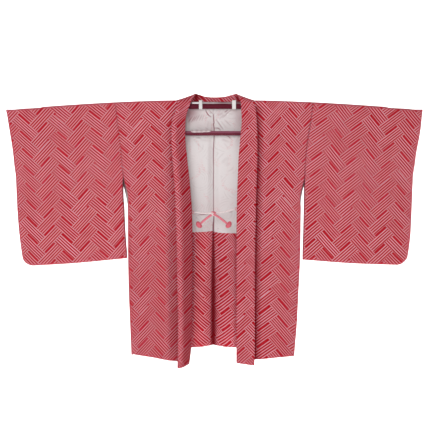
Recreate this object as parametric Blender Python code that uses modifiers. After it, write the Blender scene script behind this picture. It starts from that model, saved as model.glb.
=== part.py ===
"""A women's haori hanging flat from a telescopic rod that runs through its sleeves.

X runs to the viewer's right, Y away from the viewer and Z up, in metres. The origin is the middle of the
rod. The garment is cut as a real one is: a body length each side that runs from front hem over the
shoulder to back hem, a folded sleeve, a side gusset, one long collar folded outwards, and a back lining.
"""

from collections import namedtuple
from math import cos, pi, radians, sin, sqrt

import bmesh
import bpy
from mathutils import Matrix, Vector

# Cloth
WALL = 0.0016
COLLAR_WALL = 0.0018
LINING_WALL = 0.0010
SEAM_GAP = 0.0006
CENTRE_GAP = 0.0006
LAYER_GAP = 0.0005

# Garment
SHOULDER_RADIUS = 0.0088
NECK_POINT_X = 0.1025
NECK_POINT_Z = 0.0184
NECKLINE_Y = 0.0125
NECKLINE_Z = 0.0200
NECKLINE_CURVE = 0.0300
NECK_CUT_SLOPE = 0.45
ARMHOLE_END_Z = -0.2200
GUSSET_TOP_Z = -0.3060
SLIT_BEND_Z = -0.2665
GUSSET_TUCK = 0.0100
HEM_HALF_DEPTH = 0.0310
HEM_Z = -0.7770
BACK_HEM_RISE = 0.0080
BACK_RIPPLE, RIPPLE_LENGTH, RIPPLE_START = 0.0022, 0.1050, 0.8
LINING_END_Z = -0.3970
LINING_SIDE_INSET = 0.0040
LINING_TOP_DROP = 0.0015
LINING_RISE_START_X, LINING_RISE_LENGTH = 0.0920, 0.0200

# How fast depth grows from the shoulder to the hem
SIDE_SPREAD, FRONT_SPREAD, BACK_SPREAD = 1.1, 0.8, 0.9

# Collar
LEAF_OVERLAP = 0.0060
LEAF_BULGE = 0.0040
FOLD_RADIUS = 0.0022
NECK_SEAM_LIFT = 0.0011
NECK_SEAM_X = (0.0880, 0.0670, 0.0430, 0.0200)
CREST_SEAM = (NECK_POINT_X - 0.0030, 0.0010, NECK_POINT_Z + 0.0012)

# Sleeve
SLEEVE_CORNER_RADIUS = 0.0380
SLEEVE_END_GAP = 0.0023
SLEEVE_BOTTOM_RADIUS = 0.0030
SLEEVE_WAVE, SLEEVE_WAVES, SLEEVE_WAVE_START = 0.0030, 1.15, {"left": 0.4, "right": 1.7}
CUFF_NARROWING, CUFF_NARROWING_FROM = 0.25, 0.85
CUFF_PRESSED, CUFF_SHUT_FROM, CUFF_SHUT_OVER = 0.18, 0.36, 0.10
SEAM_SPREAD_SHARE = 0.3
FREE_CREST_DROP, FREE_CREST_LENGTH = 0.0035, 0.0500

# Rod
ROD_HEIGHT = 0.0160
ROD_DEPTH = 0.0095
ROD_BEND_START_X = 0.0880
ROD_BEND_END_X = 0.1100
ROD_ARM_RISE = 0.0090
ROD_ARM_DROP = 0.0195
ROD_ARM_BOW = 1.6
ROD_CORNER_SHARE = 0.4
ROD_ARM_END_X = 0.5260
TIP_HEIGHT = 0.0110
TIP_DEPTH = 0.0075
TIP_END_X = 0.5860
TIP_DROP = 0.0035
TIP_STEP_START_X, TIP_STEP_LENGTH = 0.5300, 0.0240
CLOTH_REST = 0.0008
FIT_GAP = 0.0003

# Where each edge lies, seen from the front: how far from the middle at each height.
SideRow = namedtuple("SideRow", "z left right")
SIDE_EDGE = [
    SideRow(0.0200, 0.3130, 0.3105),
    SideRow(-0.0485, 0.3050, 0.3015),
    SideRow(-0.1118, 0.2964, 0.2912),
    SideRow(-0.1644, 0.2910, 0.2856),
    SideRow(-0.2200, 0.2860, 0.2826),
    SideRow(-0.2665, 0.2800, 0.2755),
    SideRow(-0.3060, 0.2732, 0.2705),
    SideRow(-0.3200, 0.2718, 0.2700),
    SideRow(-0.4760, 0.2700, 0.2670),
    SideRow(-0.5870, 0.2672, 0.2612),
    SideRow(-0.6740, 0.2632, 0.2565),
    SideRow(-0.7770, 0.2586, 0.2478),
]
SLEEVE_INNER_EDGE = [
    SideRow(-0.2200, 0.2865, 0.2835),
    SideRow(-0.2800, 0.2860, 0.2845),
    SideRow(-0.3400, 0.2843, 0.2825),
    SideRow(-0.4100, 0.2805, 0.2795),
    SideRow(-0.4770, 0.2750, 0.2770),
]
SLEEVE_OUTER_EDGE = [
    SideRow(-0.0095, 0.6550, 0.6535),
    SideRow(-0.0800, 0.6440, 0.6465),
    SideRow(-0.1676, 0.6320, 0.6322),
    SideRow(-0.2500, 0.6252, 0.6238),
    SideRow(-0.3600, 0.6202, 0.6196),
    SideRow(-0.4400, 0.6140, 0.6160),
    SideRow(-0.5040, 0.6065, 0.6090),
]
SleeveBottomRow = namedtuple("SleeveBottomRow", "share left right")
SLEEVE_BOTTOM = [
    SleeveBottomRow(0.0, -0.4775, -0.4820),
    SleeveBottomRow(0.5, -0.4930, -0.4940),
    SleeveBottomRow(1.0, -0.5030, -0.5000),
]
# The sleeve's half depth down its length: a share of the body's at the seam, then in metres further out
SleeveDepthRow = namedtuple("SleeveDepthRow", "share at_seam belly")
SLEEVE_DEPTH = [
    SleeveDepthRow(0.00, 1.00, 0.0088),
    SleeveDepthRow(0.20, 1.00, 0.0116),
    SleeveDepthRow(0.40, 1.00, 0.0130),
    SleeveDepthRow(0.58, 0.99, 0.0124),
    SleeveDepthRow(0.72, 0.87, 0.0108),
    SleeveDepthRow(0.85, 0.70, 0.0069),
    SleeveDepthRow(1.00, 0.65, 0.0046),
]
HemRow = namedtuple("HemRow", "share left right")
FRONT_HEM = [
    HemRow(0.0, -0.7740, -0.7800),
    HemRow(0.5, -0.7845, -0.7850),
    HemRow(1.0, -0.7985, -0.7915),
]

# How far a panel swells at the hem past the depth of its side edge, from the side to its inner edge.
SwellRow = namedtuple("SwellRow", "share left right")
FRONT_SWELL = [
    SwellRow(0.00, 0.000, 0.000),
    SwellRow(0.20, 0.007, 0.005),
    SwellRow(0.40, 0.009, 0.007),
    SwellRow(0.60, 0.013, 0.010),
    SwellRow(0.75, 0.015, 0.010),
    SwellRow(0.87, 0.006, 0.007),
    SwellRow(1.00, -0.006, -0.002),
]
BackRow = namedtuple("BackRow", "share swell")
BACK_SWELL = [
    BackRow(0.0, 0.034),
    BackRow(0.2, 0.034),
    BackRow(0.4, 0.031),
    BackRow(0.6, 0.024),
    BackRow(0.8, 0.012),
    BackRow(1.0, 0.000),
]
PleatRow = namedtuple("PleatRow", "z depth half_width")
BACK_PLEAT = [
    PleatRow(0.0200, 0.000, 0.012),
    PleatRow(-0.1000, 0.003, 0.016),
    PleatRow(-0.4000, 0.009, 0.026),
    PleatRow(-0.6000, 0.021, 0.036),
    PleatRow(-0.7770, 0.030, 0.044),
]

# The collar on the fronts: its folded edge at the opening, and the free edge of the leaf turned outwards.
CollarRow = namedtuple("CollarRow", "z fold_x fold_y free_x free_y")
LEFT_COLLAR = [
    CollarRow(0.0085, 0.0755, -0.0140, 0.1160, -0.0190),
    CollarRow(-0.0126, 0.0842, -0.0147, 0.1203, -0.0210),
    CollarRow(-0.0444, 0.0915, -0.0150, 0.1335, -0.0245),
    CollarRow(-0.0990, 0.0925, -0.0160, 0.1373, -0.0275),
    CollarRow(-0.1540, 0.0875, -0.0175, 0.1350, -0.0295),
    CollarRow(-0.2173, 0.0805, -0.0190, 0.1288, -0.0320),
    CollarRow(-0.2700, 0.0755, -0.0205, 0.1240, -0.0345),
    CollarRow(-0.3250, 0.0715, -0.0215, 0.1218, -0.0365),
    CollarRow(-0.4410, 0.0690, -0.0240, 0.1194, -0.0410),
    CollarRow(-0.5580, 0.0700, -0.0262, 0.1188, -0.0450),
    CollarRow(-0.6740, 0.0712, -0.0280, 0.1172, -0.0485),
    CollarRow(-0.7516, 0.0734, -0.0292, 0.1166, -0.0505),
    CollarRow(-0.8130, 0.0815, -0.0300, 0.1166, -0.0520),
]
RIGHT_COLLAR = [
    CollarRow(0.0085, 0.0825, -0.0140, 0.1235, -0.0185),
    CollarRow(-0.0126, 0.0843, -0.0147, 0.1290, -0.0205),
    CollarRow(-0.0444, 0.0857, -0.0153, 0.1325, -0.0225),
    CollarRow(-0.0990, 0.0812, -0.0170, 0.1352, -0.0245),
    CollarRow(-0.1540, 0.0765, -0.0190, 0.1358, -0.0265),
    CollarRow(-0.2173, 0.0735, -0.0210, 0.1337, -0.0282),
    CollarRow(-0.2700, 0.0715, -0.0230, 0.1323, -0.0297),
    CollarRow(-0.3250, 0.0700, -0.0250, 0.1308, -0.0310),
    CollarRow(-0.4410, 0.0686, -0.0288, 0.1295, -0.0340),
    CollarRow(-0.5580, 0.0684, -0.0320, 0.1295, -0.0370),
    CollarRow(-0.6740, 0.0684, -0.0345, 0.1288, -0.0395),
    CollarRow(-0.7516, 0.0684, -0.0358, 0.1270, -0.0408),
    CollarRow(-0.8130, 0.0684, -0.0370, 0.1238, -0.0420),
]
# Heights of the collar's lower end, at its fold and at its free edge
COLLAR_END = {"left": (-0.8050, -0.8145), "right": (-0.8010, -0.8080)}

# The collar round the back of the neck, from the shoulder to the middle: fold, then free edge.
NeckRow = namedtuple("NeckRow", "fold_x fold_y fold_z free_x free_y free_z")
NECK_COLLAR = [
    NeckRow(0.0690, -0.0090, 0.0245, 0.1205, -0.0090, 0.0205),
    NeckRow(0.0610, 0.0010, 0.0365, 0.1195, 0.0040, 0.0222),
    NeckRow(0.0570, 0.0110, 0.0400, 0.1110, 0.0190, 0.0130),
    NeckRow(0.0450, 0.0180, 0.0375, 0.0900, 0.0250, -0.0020),
    NeckRow(0.0290, 0.0205, 0.0332, 0.0600, 0.0265, -0.0140),
    NeckRow(0.0140, 0.0215, 0.0316, 0.0290, 0.0265, -0.0210),
]
NECK_MIDDLE = NeckRow(0.0, 0.0220, 0.0312, 0.0, 0.0260, -0.0235)
NECK_STRETCH = {"left": 1.0, "right": 1.13}  # the raised corner of the neck is wider on the right

# Cord that closes the fronts
CORD_DIAMETER = 0.0062
LOOP_Z = {"left": -0.3330, "right": -0.3230}
LOOP_RADIUS, LOOP_THICKNESS = 0.0040, 0.0010
EYE_RADIUS, EYE_THICKNESS = 0.0032, 0.0009
KNOT_CENTRE = Vector((-0.0040, -0.0205, -0.3370))
KNOT_RADII = Vector((0.0085, 0.0065, 0.0070))
KNOB_RADIUS, KNOB_DEPTH_SHARE = 0.0092, 0.85
LEAD_SAG = Vector((0.0, -0.0005, -0.0022))
TAIL_BOW = Vector((0.0, -0.0005, 0.0012))
KNOB_CENTRE = {"left": Vector((-0.0488, -0.0215, -0.3725)), "right": Vector((0.0442, -0.0215, -0.3725))}

# Fittings on the rod
CLIP_X = {"left": -0.0440, "right": 0.0610}
CLIP_WIDTH = {"left": 0.0105, "right": 0.0120}
CLIP_TOP_Z, CLIP_WALL, CLIP_BEVEL = 0.0190, 0.0015, 0.0020
REST_LENGTH, REST_DEPTH, REST_HEIGHT, REST_ROUNDING = 0.0210, 0.0076, 0.0035, 0.0008
LOWER_BAR_Z, LOWER_BAR_ROUNDING = -0.0846, 0.0025
LOWER_BAR_LENGTH, LOWER_BAR_DEPTH, LOWER_BAR_HEIGHT = 0.2860, 0.0080, 0.0140
LINK_X, LINK_WIDTH, LINK_DEPTH, LINK_ROUNDING = 0.1300, 0.0120, 0.0050, 0.0010

# Mesh steps
SHOULDER_TURNS = (pi / 6, pi / 3, pi / 2)
UPPER_ROWS = (-0.0300, -0.0750, -0.1200, -0.1700, ARMHOLE_END_Z, SLIT_BEND_Z, GUSSET_TOP_Z)
LOWER_ROW_COUNT = 9
SIDE_COLUMNS = 9
GUSSET_ROWS, GUSSET_COLUMNS = 9, 5
BEND_STEPS, ARM_STEPS = 4, 5
CORD_STEPS = 6
NECK_COLUMNS = (0.0800, 0.0580, 0.0400, 0.0260, 0.0140, 0.0060, 0.0)
SLEEVE_ROWS = (-0.0300, -0.0750, -0.1200, -0.1700, ARMHOLE_END_Z, -0.2800, -0.3400, -0.4000, -0.4500)
SLEEVE_COLUMNS = (0.0, 0.11, 0.22, 0.34, 0.46, 0.56, 0.64, 0.72, 0.80, 0.885, 0.94, 0.976, 0.994, 1.0)

SIGN = {"left": -1.0, "right": 1.0}


def curve_through(keys, values):
    """A smooth function through the given points, whose keys may rise or fall."""
    if keys[0] > keys[-1]:
        keys, values = keys[::-1], values[::-1]
    last = len(keys) - 1
    steps = [(values[i + 1] - values[i]) / (keys[i + 1] - keys[i]) for i in range(last)]
    slopes = [steps[0]]
    for before, after in zip(steps, steps[1:]):
        slopes.append(0.0 if before * after <= 0 else 2 * before * after / (before + after))
    slopes.append(steps[-1])

    def value_at(key):
        key = min(max(key, keys[0]), keys[-1])
        i = next((i for i in range(last) if key <= keys[i + 1]), last - 1)
        width = keys[i + 1] - keys[i]
        u = (key - keys[i]) / width
        start = (1 + 2 * u) * (1 - u) ** 2 * values[i] + u * (1 - u) ** 2 * width * slopes[i]
        end = u * u * (3 - 2 * u) * values[i + 1] - u * u * (1 - u) * width * slopes[i + 1]
        return start + end

    return value_at


def column(rows, key, name):
    return curve_through([getattr(row, key) for row in rows], [getattr(row, name) for row in rows])


def by_side(rows, key):
    return {side: column(rows, key, side) for side in SIGN}


def eased(value):
    value = min(max(value, 0.0), 1.0)
    return value * value * (3 - 2 * value)


def between(low, high, share):
    return low + (high - low) * share


side_x = by_side(SIDE_EDGE, "z")
sleeve_inner_x = by_side(SLEEVE_INNER_EDGE, "z")
sleeve_outer_x = by_side(SLEEVE_OUTER_EDGE, "z")
sleeve_bottom_z = by_side(SLEEVE_BOTTOM, "share")
sleeve_seam_share = column(SLEEVE_DEPTH, "share", "at_seam")
sleeve_belly = column(SLEEVE_DEPTH, "share", "belly")
front_hem_z = by_side(FRONT_HEM, "share")
front_swell = by_side(FRONT_SWELL, "share")
back_swell = column(BACK_SWELL, "share", "swell")
pleat_depth = column(BACK_PLEAT, "z", "depth")
pleat_half_width = column(BACK_PLEAT, "z", "half_width")
COLLAR_ROWS = {"left": LEFT_COLLAR, "right": RIGHT_COLLAR}
collar_x = {side: column(rows, "z", "fold_x") for side, rows in COLLAR_ROWS.items()}
collar_y = {side: column(rows, "z", "fold_y") for side, rows in COLLAR_ROWS.items()}
leaf_x = {side: column(rows, "z", "free_x") for side, rows in COLLAR_ROWS.items()}
leaf_y = {side: column(rows, "z", "free_y") for side, rows in COLLAR_ROWS.items()}


def clear_scene():
    for old in list(bpy.data.objects):
        bpy.data.objects.remove(old)


def make_material(name, colour, roughness):
    material = bpy.data.materials.new(name)
    material.use_nodes = True
    shader = material.node_tree.nodes["Principled BSDF"]
    shader.inputs["Base Color"].default_value = (*colour, 1.0)
    shader.inputs["Roughness"].default_value = roughness
    shader.inputs["Metallic"].default_value = 0.0
    material.diffuse_color = (*colour, 1.0)
    return material


def add_object(name, data, material):
    made = bpy.data.objects.new(name, data)
    data.materials.append(material)
    bpy.data.collections["haori"].objects.link(made)
    return made


def adopt_primitive(name, material):
    """Names the primitive just added and moves it into the garment's collection."""
    made = bpy.context.object
    made.name = name
    for user in list(made.users_collection):
        user.objects.unlink(made)
    bpy.data.collections["haori"].objects.link(made)
    made.data.materials.append(material)
    return made


def apply_size(made, size):
    made.scale = size
    bpy.ops.object.transform_apply(location=False, rotation=False, scale=True)


def mesh_object(name, points, faces, material):
    mesh = bpy.data.meshes.new(name)
    mesh.from_pydata(points, [], faces)
    mesh.validate()
    shell = bmesh.new()
    shell.from_mesh(mesh)
    bmesh.ops.recalc_face_normals(shell, faces=shell.faces)
    shell.to_mesh(mesh)
    shell.free()
    mesh.shade_smooth()
    mesh.set_sharp_from_angle(angle=radians(40))
    return add_object(name, mesh, material)


def thicken(cloth, wall):
    solidify = cloth.modifiers.new("wall", "SOLIDIFY")
    solidify.thickness = wall
    solidify.offset = 0.0
    solidify.use_even_offset = True
    return cloth


def grid_faces(rows, columns, first=0):
    return [
        (first + r * columns + c, first + r * columns + c + 1, first + (r + 1) * columns + c + 1,
         first + (r + 1) * columns + c)
        for r in range(rows - 1)
        for c in range(columns - 1)
    ]


def ring_solid(name, rings, material):
    """A closed solid through rings of the same count, with flat ends."""
    count = len(rings[0])
    points = [tuple(point) for ring in rings for point in ring]
    faces = [tuple(range(count)), tuple(range(len(points) - count, len(points)))]
    for r in range(len(rings) - 1):
        for c in range(count):
            d = (c + 1) % count
            faces.append((r * count + c, r * count + d, (r + 1) * count + d, (r + 1) * count + c))
    return mesh_object(name, points, faces, material)


def rounded_box(name, centre, size, rounding, material):
    bpy.ops.mesh.primitive_cube_add(size=1.0, location=centre)
    box = adopt_primitive(name, material)
    apply_size(box, size)
    bevel = box.modifiers.new("edges", "BEVEL")
    bevel.width = rounding
    bevel.segments = 2


# The rod


def rod_z(x):
    """Height of the rod's middle: level between the fronts, then raised, then drooping to the cuffs."""
    if x <= ROD_BEND_START_X:
        return 0.0
    if x <= ROD_BEND_END_X:
        return ROD_ARM_RISE * eased((x - ROD_BEND_START_X) / (ROD_BEND_END_X - ROD_BEND_START_X))
    run = (min(x, ROD_ARM_END_X) - ROD_BEND_END_X) / (ROD_ARM_END_X - ROD_BEND_END_X)
    return ROD_ARM_RISE - ROD_ARM_DROP * run**ROD_ARM_BOW


def tip_z(x):
    run = (x - ROD_ARM_END_X) / (TIP_END_X - ROD_ARM_END_X)
    return rod_z(ROD_ARM_END_X) - TIP_DROP * run


def rod_section(x, z, height, depth):
    """A rounded bar section, standing across X."""
    half_height, half_depth, corner = height / 2, depth / 2, depth * ROD_CORNER_SHARE
    points = []
    for across, up, start in ((1, 1, 0), (-1, 1, 90), (-1, -1, 180), (1, -1, 270)):
        for turn in (start, start + 45, start + 90):
            y = across * (half_depth - corner) + corner * cos(radians(turn))
            points.append((x, y, z + up * (half_height - corner) + corner * sin(radians(turn))))
    return points


def make_rod(material):
    bend = [between(ROD_BEND_START_X, ROD_BEND_END_X, i / BEND_STEPS) for i in range(BEND_STEPS)]
    arm = [between(ROD_BEND_END_X, ROD_ARM_END_X, i / ARM_STEPS) for i in range(ARM_STEPS + 1)]
    half = bend + arm
    stations = [-x for x in reversed(half)] + half
    rings = [rod_section(x, rod_z(abs(x)), ROD_HEIGHT, ROD_DEPTH) for x in stations]
    ring_solid("rod", rings, material)
    for side, sign in SIGN.items():
        xs = (ROD_ARM_END_X + FIT_GAP, TIP_END_X)
        rings = [rod_section(sign * x, tip_z(x), TIP_HEIGHT, TIP_DEPTH) for x in xs]
        ring_solid(f"rod_tip_{side}", rings, material)


def make_lower_bar(material):
    size = (LOWER_BAR_LENGTH, LOWER_BAR_DEPTH, LOWER_BAR_HEIGHT)
    rounded_box("lower_bar", (0, 0, LOWER_BAR_Z), size, LOWER_BAR_ROUNDING, material)
    low = LOWER_BAR_Z + LOWER_BAR_HEIGHT / 2 + FIT_GAP
    high = rod_z(LINK_X + LINK_WIDTH / 2) - ROD_HEIGHT / 2 - FIT_GAP
    for side, sign in SIGN.items():
        centre = (sign * LINK_X, 0, (low + high) / 2)
        rounded_box(f"bar_link_{side}", centre, (LINK_WIDTH, LINK_DEPTH, high - low), LINK_ROUNDING, material)


def add_outline(curve, points):
    spline = curve.splines.new("POLY")
    spline.points.add(len(points) - 1)
    for spot, (across, up) in zip(spline.points, points):
        spot.co = (across, up, 0, 1)
    spline.use_cyclic_u = True


def make_clips(material):
    """White straps round the rod, whose tops hold the collar up at the neck."""
    hole_depth, hole_height = ROD_DEPTH / 2 + FIT_GAP, ROD_HEIGHT / 2 + FIT_GAP
    out, low, high = hole_depth + CLIP_WALL, -hole_height - CLIP_WALL / 2, CLIP_TOP_Z
    outer = [(-out, low), (out, low), (out, high - CLIP_BEVEL), (out - CLIP_BEVEL, high),
             (CLIP_BEVEL - out, high), (-out, high - CLIP_BEVEL)]
    inner = [(-hole_depth, -hole_height), (hole_depth, -hole_height), (hole_depth, hole_height),
             (-hole_depth, hole_height)]
    for side in SIGN:
        curve = bpy.data.curves.new(f"clip_{side}", "CURVE")
        curve.dimensions = "2D"
        curve.fill_mode = "BOTH"
        curve.extrude = CLIP_WIDTH[side] / 2
        add_outline(curve, outer)
        add_outline(curve, inner)
        clip = add_object(f"clip_{side}", curve, material)
        clip.matrix_world = Matrix(((0, 0, 1, CLIP_X[side]), (1, 0, 0, 0), (0, 1, 0, 0), (0, 0, 0, 1)))
    rest_x = CLIP_X["left"] - CLIP_WIDTH["left"] / 2 - FIT_GAP - REST_LENGTH / 2
    rest_z = ROD_HEIGHT / 2 + FIT_GAP + REST_HEIGHT / 2
    rest_size = (REST_LENGTH, REST_DEPTH, REST_HEIGHT)
    rounded_box("neck_rest", (rest_x, 0, rest_z), rest_size, REST_ROUNDING, material)


# The body


def crest_z(x):
    """Height of the cloth's middle surface where it lies over the rod."""
    on_rod = rod_z(x) + ROD_HEIGHT / 2
    on_tip = tip_z(min(max(x, ROD_ARM_END_X), TIP_END_X)) + TIP_HEIGHT / 2
    top = between(on_rod, on_tip, eased((x - TIP_STEP_START_X) / TIP_STEP_LENGTH))
    free_drop = FREE_CREST_DROP * eased((x - TIP_END_X) / FREE_CREST_LENGTH)
    return top + CLOTH_REST + WALL / 2 - free_drop


def side_half_depth(z):
    """Half the distance between front and back along their side edges."""
    return SHOULDER_RADIUS + (HEM_HALF_DEPTH - SHOULDER_RADIUS) * (max(-z, 0.0) / -HEM_Z) ** SIDE_SPREAD


def fall(z):
    return min(max((NECK_POINT_Z - z) / (NECK_POINT_Z - HEM_Z), 0.0), 1.0)


def over_shoulder(below):
    """How far from the crest line the cloth stands, at a height below it."""
    if below >= SHOULDER_RADIUS:
        return SHOULDER_RADIUS
    return sqrt(max(SHOULDER_RADIUS**2 - (SHOULDER_RADIUS - max(below, 0.0)) ** 2, 0.0))


def seam_x(side, z):
    """Where the collar is sewn to the front, just under the free edge of its leaf."""
    along_neck = NECK_POINT_X + NECK_CUT_SLOPE * (NECK_POINT_Z - z)
    return min(leaf_x[side](z) - LEAF_OVERLAP, along_neck)


def front_y(side, share, z, crest):
    swell = front_swell[side](share) * fall(z) ** FRONT_SPREAD
    return -(over_shoulder(crest - z) + side_half_depth(z) - SHOULDER_RADIUS + swell)


def neckline(x):
    """Depth and height of the back neckline at a distance from the middle."""
    share = eased((NECK_POINT_X - x) / NECKLINE_CURVE)
    return NECKLINE_Y * share, between(NECK_POINT_Z, NECKLINE_Z, share)


def back_y(side, x, z, crest):
    share = min(x / side_x[side](z), 1.0)
    depth = over_shoulder(crest - z)
    if x < NECK_POINT_X:
        depth = max(depth, neckline(x)[0])
    ripple = BACK_RIPPLE * sin(2 * pi * x / RIPPLE_LENGTH + RIPPLE_START) * share * (1 - share) * 4
    swell = (back_swell(share) + ripple) * fall(z) ** BACK_SPREAD
    pleat = pleat_depth(z) * (1 - eased(x / pleat_half_width(z)))
    return depth + side_half_depth(z) - SHOULDER_RADIUS + swell + pleat


def row_heights(crest, hem):
    """Heights down a panel: over the shoulder, fixed rows to the gusset's top, then even steps to the hem."""
    turn = [crest] + [crest - SHOULDER_RADIUS * (1 - cos(angle)) for angle in SHOULDER_TURNS]
    lower = [between(GUSSET_TOP_Z, hem, (i + 1) / LOWER_ROW_COUNT) for i in range(LOWER_ROW_COUNT)]
    return turn + list(UPPER_ROWS) + lower


def front_column(side, share):
    top_x = between(side_x[side](NECK_POINT_Z), NECK_POINT_X, share)
    crest = crest_z(top_x) if share < 1 else NECK_POINT_Z
    points = []
    for z in row_heights(crest, front_hem_z[side](share)):
        x = between(side_x[side](z), seam_x(side, z) + SEAM_GAP, share)
        points.append(Vector((SIGN[side] * x, front_y(side, share, z, crest), z)))
    points[0].y = 0.0
    points[0].x = SIGN[side] * top_x
    return points


def back_tops(side):
    """Where the columns of a back start along the shoulder and the neckline, from the side to the middle."""
    outer = side_x[side](NECK_POINT_Z)
    along_shoulder = [between(outer, NECK_POINT_X, i / SIDE_COLUMNS) for i in range(SIDE_COLUMNS)]
    return along_shoulder + [NECK_POINT_X] + list(NECK_COLUMNS)


def back_hem_z(share):
    return HEM_Z + BACK_HEM_RISE * (1 - eased(share))


def back_column(side, top_x):
    in_neck = top_x < NECK_POINT_X
    top_y, crest = neckline(top_x) if in_neck else (0.0, crest_z(top_x))
    if top_x == NECK_POINT_X:
        crest = NECK_POINT_Z
    share = top_x / side_x[side](NECK_POINT_Z)
    points = []
    for z in row_heights(crest, back_hem_z(share)):
        x = max(side_x[side](z) * share, CENTRE_GAP)
        points.append(Vector((SIGN[side] * x, back_y(side, x, z, crest), z)))
    points[0].y = top_y
    return points


def make_body(side, material):
    """One length of cloth from the front hem over the shoulder to the back hem."""
    fronts = [front_column(side, i / SIDE_COLUMNS) for i in range(SIDE_COLUMNS + 1)]
    backs = [back_column(side, x) for x in back_tops(side)]
    rows, front_count, back_count = len(fronts[0]), len(fronts), len(backs)
    points = [tuple(strip[r]) for r in range(rows - 1, 0, -1) for strip in fronts]
    shoulder = len(points)
    points += [tuple(strip[r]) for r in range(rows) for strip in backs]
    faces = grid_faces(rows - 1, front_count) + grid_faces(rows, back_count, shoulder)
    last_front = shoulder - front_count
    for c in range(front_count - 1):
        faces.append((last_front + c, last_front + c + 1, shoulder + c + 1, shoulder + c))
    return thicken(mesh_object(f"body_{side}", points, faces, material), WALL)


def make_lining(side, material):
    """The back lining, inside the back from the neckline to where the cloth's own hem turns up."""
    shift = WALL / 2 + LAYER_GAP + LINING_WALL / 2
    heights = [z for z in row_heights(0.0, HEM_Z) if LINING_END_Z < z <= UPPER_ROWS[0]] + [LINING_END_Z]
    points = []
    tops = back_tops(side)
    tops[0] -= LINING_SIDE_INSET
    for top_x in tops:
        crest = neckline(top_x)[1] if top_x < NECK_POINT_X else crest_z(top_x)
        neck = eased((LINING_RISE_START_X - top_x) / LINING_RISE_LENGTH)
        top_z = crest - LINING_TOP_DROP - SHOULDER_RADIUS * (1 - neck)
        share = top_x / side_x[side](NECK_POINT_Z)
        for z in (top_z, (top_z + heights[0]) / 2, *heights):
            x = max(side_x[side](z) * share, CENTRE_GAP)
            points.append((SIGN[side] * x, back_y(side, x, z, crest) - shift, z))
    faces = grid_faces(len(tops), len(heights) + 2)
    return thicken(mesh_object(f"lining_{side}", points, faces, material), LINING_WALL)


def make_gusset(side, material):
    """The narrow wedge between front and back at the side, below the open slit under the arm."""
    inset = WALL / 2 + SEAM_GAP
    points = []
    for r in range(GUSSET_ROWS):
        z = between(GUSSET_TOP_Z, HEM_Z, r / (GUSSET_ROWS - 1))
        half = side_half_depth(z) - inset
        for c in range(GUSSET_COLUMNS):
            across = -1 + 2 * c / (GUSSET_COLUMNS - 1)
            tuck = GUSSET_TUCK * fall(z) * (1 - across * across)
            points.append((SIGN[side] * (side_x[side](z) - WALL - tuck), half * across, z))
    faces = grid_faces(GUSSET_ROWS, GUSSET_COLUMNS)
    return thicken(mesh_object(f"gusset_{side}", points, faces, material), WALL)


# The sleeves


def sleeve_half_gap(side, u, v, z, from_cuff):
    """Half the distance between the sleeve's two layers, at shares of its width, u, and of its depth, v."""
    at_seam = side_half_depth(max(z, ARMHOLE_END_Z)) * sleeve_seam_share(v)
    gap = between(at_seam, sleeve_belly(v), eased(u / SEAM_SPREAD_SHARE))
    sewn_shut = eased((v - CUFF_SHUT_FROM) / CUFF_SHUT_OVER)
    near_cuff = 1 - eased(from_cuff / (2 * SLEEVE_CORNER_RADIUS))
    pressed_flat = 1 - CUFF_PRESSED * near_cuff * (1 - sewn_shut)
    return between(gap, SLEEVE_END_GAP, near_cuff * sewn_shut) * pressed_flat


def sleeve_wave(side, u, v):
    lean = SLEEVE_WAVE * sin(2 * pi * SLEEVE_WAVES * u + SLEEVE_WAVE_START[side])
    return lean * eased(v / SEAM_SPREAD_SHARE) * eased(u / SEAM_SPREAD_SHARE)


def sleeve_x(side, u, v, edge_z):
    inner = sleeve_inner_x[side](edge_z) if edge_z < ARMHOLE_END_Z else side_x[side](edge_z) + SEAM_GAP
    outer_z = between(SLEEVE_OUTER_EDGE[0].z, SLEEVE_OUTER_EDGE[-1].z, v)
    return between(inner, sleeve_outer_x[side](outer_z), u)


def sleeve_loop(side, u):
    """One turn round the sleeve: crest, down the front layer, the bottom fold, up the back layer."""
    seam_top, cuff_top = side_x[side](NECK_POINT_Z) + SEAM_GAP, sleeve_outer_x[side](0.0)
    top_x = between(seam_top, cuff_top, u)
    crest, sign = crest_z(top_x), SIGN[side]
    from_cuff = cuff_top - top_x
    short = max(SLEEVE_CORNER_RADIUS - from_cuff, 0.0)
    rise = SLEEVE_CORNER_RADIUS - sqrt(SLEEVE_CORNER_RADIUS**2 - short**2)
    bottom = sleeve_bottom_z[side](u) + rise
    narrowing = CUFF_NARROWING * eased((u - CUFF_NARROWING_FROM) / (1 - CUFF_NARROWING_FROM))
    radius = SHOULDER_RADIUS * (1 - narrowing)
    inner_bottom = sleeve_bottom_z[side](0.0)
    front, back = [], []
    for turn in SHOULDER_TURNS:
        z = crest - radius * (1 - cos(turn))
        x = sleeve_x(side, u, 0.0, z)
        front.append((sign * x, -radius * sin(turn), z))
        back.append((sign * x, radius * sin(turn), z))
    for edge_z in SLEEVE_ROWS:
        v = (NECK_POINT_Z - edge_z) / (NECK_POINT_Z - inner_bottom)
        z = between(crest, bottom, v) if u > 0 else edge_z
        x = sleeve_x(side, u, v, edge_z)
        half, middle = sleeve_half_gap(side, u, v, z, from_cuff), sleeve_wave(side, u, v)
        front.append((sign * x, middle - half, z))
        back.append((sign * x, middle + half, z))
    x = sleeve_x(side, u, 1.0, inner_bottom)
    middle = sleeve_wave(side, u, 1.0)
    fold = min(SLEEVE_BOTTOM_RADIUS, sleeve_half_gap(side, u, 1.0, bottom, from_cuff))
    front.append((sign * x, middle - fold, bottom + SLEEVE_BOTTOM_RADIUS))
    back.append((sign * x, middle + fold, bottom + SLEEVE_BOTTOM_RADIUS))
    crest_point = (sign * sleeve_x(side, u, 0.0, crest), 0.0, crest)
    return [crest_point] + front + [(sign * x, middle, bottom)] + back[::-1]


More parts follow.
